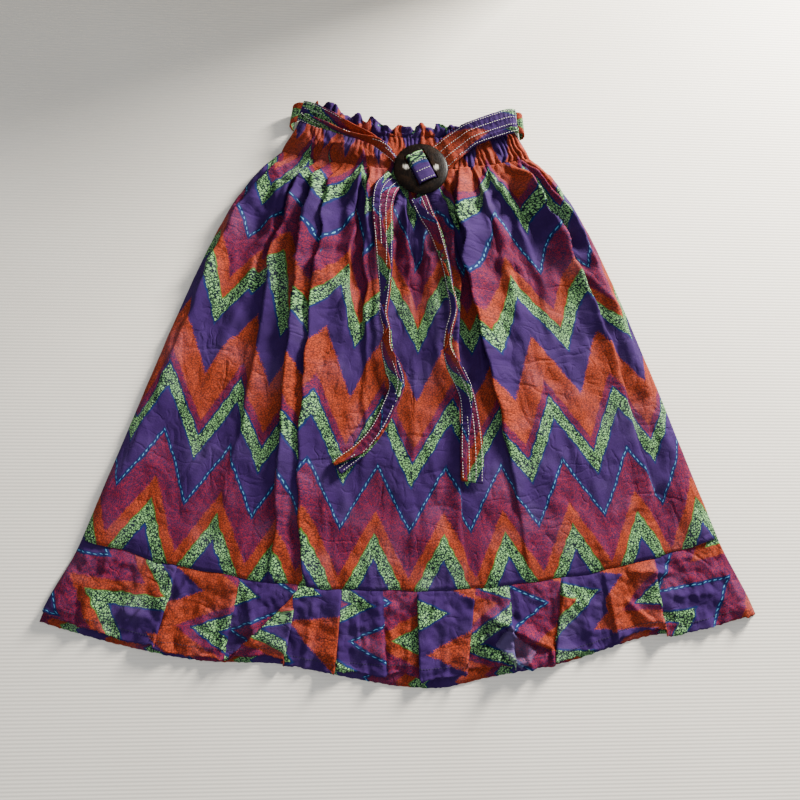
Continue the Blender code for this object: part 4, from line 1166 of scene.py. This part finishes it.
def buckle(skin):
    profile = bmesh.new()
    points = [profile.verts.new((BUCKLE_RADIUS * r, 0, BUCKLE_HEIGHT * h)) for r, h in BUCKLE_SECTION]
    edges = [profile.edges.new(pair) for pair in zip(points, points[1:])]
    bmesh.ops.spin(profile, geom=points + edges, cent=(0, 0, 0), axis=(0, 0, 1), angle=2 * math.pi,
                   steps=96, use_merge=True)
    bmesh.ops.remove_doubles(profile, verts=profile.verts, dist=0.00001)
    bmesh.ops.recalc_face_normals(profile, faces=profile.faces)
    turn = Matrix.Rotation(math.radians(BUCKLE_TURN), 4, "Z")
    profile.transform(Matrix.Translation((*BUCKLE_CENTRE, BUCKLE_UNDER)) @ turn)
    disc = made("coconut_buckle", profile)
    for side in (-1, 1):
        block = bmesh.new()
        place = Matrix.Translation((*along_belt(side * SLOT_APART / 2), BUCKLE_UNDER))
        size = Matrix.Diagonal((*SLOT_SIZE, 4 * BUCKLE_HEIGHT, 1))
        bmesh.ops.create_cube(block, size=1, matrix=place @ turn @ size)
        cutter = made("slot_block", block)
        cut = disc.modifiers.new("slot", "BOOLEAN")
        cut.operation, cut.object = "DIFFERENCE", cutter
        bpy.context.view_layer.update()
        cut_mesh = bpy.data.meshes.new_from_object(disc.evaluated_get(bpy.context.evaluated_depsgraph_get()))
        disc.modifiers.remove(cut)
        disc.data = cut_mesh
        bpy.data.objects.remove(cutter)
    worn = disc.modifiers.new("worn edges", "BEVEL")
    worn.width, worn.segments, worn.limit_method, worn.angle_limit = 0.0005, 3, "ANGLE", math.radians(40)
    return finish_piece(disc, "buckle", skin)


def light(name, place, size, power, colour, aim=(0, 0, 0)):
    data = bpy.data.lights.new(name, "AREA")
    data.shape, data.size, data.size_y = "RECTANGLE", *size
    data.energy, data.color = power, colour
    lamp = bpy.data.objects.new(name, data)
    direction = Vector(aim) - Vector(place)
    lamp.rotation_euler = direction.to_track_quat("-Z", "Y").to_euler()
    lamp.location = place
    bpy.context.scene.collection.objects.link(lamp)


# The stage, in metres: half the floor's side, its gap under the skirt, and a standing board that shades it
FLOOR_HALF, FLOOR_GAP = 2.5, 0.0003
BOARD_MIDDLE, BOARD_SIZE = (-0.24, 0.62, 0.15), (1.00, 0.02, 0.30)

skin = printed_cotton("batik cotton")
pale_thread = thread("white thread", "E8E4DA", "8E8A86")
dark_thread = thread("dark thread", "1E1A30", "120F1E")

back = cloth("skirt_back", 60, 80, back_panel_at, "back_panel", skin)
hem_behind = cloth("hem_back", 320, 16, back_ruffle_at, "ruffle_back", skin)
waist_behind = cloth("waist_back", 352, 18, back_band_at, "waistband_back", skin)
behind = cloth("belt_behind", 12, 120, belt_back_at, "belt_back", skin, wall=TURN_WALL)
front_columns = 20 * (len(GATHERS) + 1)
front = cloth("skirt_front", front_columns, 124, front_panel_at, "front_panel", skin)
waist = cloth("waist_front", 616, 30, waistband_at, "waistband_front", skin)
hem = cloth("hem_front", 560, 52, front_ruffle_at, "ruffle_front", skin, cuts=ruffle_cuts)

trees = [tree_of(front), tree_of(waist)]
right = Ribbon(BELT_RIGHT, trees)
left = Ribbon(BELT_LEFT, trees)
tail_left = Ribbon(TAIL_LEFT, trees, 240)
tail_right = Ribbon(TAIL_RIGHT, trees, 240)
strips = (
    (right, belt_strip("belt_front_right", right, skin, "belt_right", 0.222, -0.85, 0.5)),
    (left, belt_strip("belt_front_left", left, skin, "belt_left", 0.157, 0.75, 0.5)),
    (tail_left, belt_strip("tail_left", tail_left, skin, "belt_tail_left", 0.004, 1.14, 0.25, -1)),
    (tail_right, belt_strip("tail_right", tail_right, skin, "belt_tail_right", 0.0195, 1.15, 0.25, -1)),
)
turn_right = belt_turn("turn_right", TURN_RIGHT, "belt_side_right", skin)
turn_left = belt_turn("turn_left", TURN_LEFT, "belt_side_left", skin)
tab = cloth("tab", 24, 60, tab_at, "belt_tab", skin, wall=STRIP_WALL)
buckle(coconut_shell("coconut shell"))

# White topstitching along the belt: each row's reach across what shows, and the half width that it needs
SEWN_ROWS = ((0.07, 0.0), (0.37, 0.0098), (0.66, 0.0082), (0.93, 0.0))
HEM_ROW, WAIST_ROW = 0.89, 0.24      # how far down the ruffle and the casing their rows run
for ribbon, strip in strips:
    sewn = stitches(strip.name + "_stitches", ribbon_runs(ribbon, SEWN_ROWS), pale_thread)
tab_sewn = stitches("tab_stitches", tab_runs(), pale_thread)
hem_sewn = stitches("hem_stitches", [sheet_run(front_ruffle_at, HEM_ROW)], dark_thread)
waist_sewn = stitches("waist_stitches", [sheet_run(waistband_at, WAIST_ROW)], dark_thread)

floor_shape = bmesh.new()
bmesh.ops.create_grid(floor_shape, x_segments=1, y_segments=1, size=FLOOR_HALF)
floor = made("floor", floor_shape)
floor.data.materials.append(painted_floor("painted board"))
floor.location.z = -FLOOR_GAP

light("window", (1.14, 1.16, 0.58), (0.40, 0.40), 162, (1.0, 0.96, 0.90))
light("far window", (0.3, -1.6, 1.4), (1.2, 0.8), 8, (0.95, 0.97, 1.0))

board_shape = bmesh.new()
bmesh.ops.create_cube(board_shape, size=1,
                      matrix=Matrix.Translation(BOARD_MIDDLE) @ Matrix.Diagonal((*BOARD_SIZE, 1)))
board = made("board", board_shape)
board.data.materials.append(painted_floor("painted board end"))
board.visible_camera = False        # it stands past the picture's top, and only its shadow shows

sky = bpy.data.worlds.new("room")
sky.use_nodes = True
sky.node_tree.nodes["Background"].inputs["Color"].default_value = (0.80, 0.84, 0.92, 1)
sky.node_tree.nodes["Background"].inputs["Strength"].default_value = 0.75
bpy.context.scene.world = sky
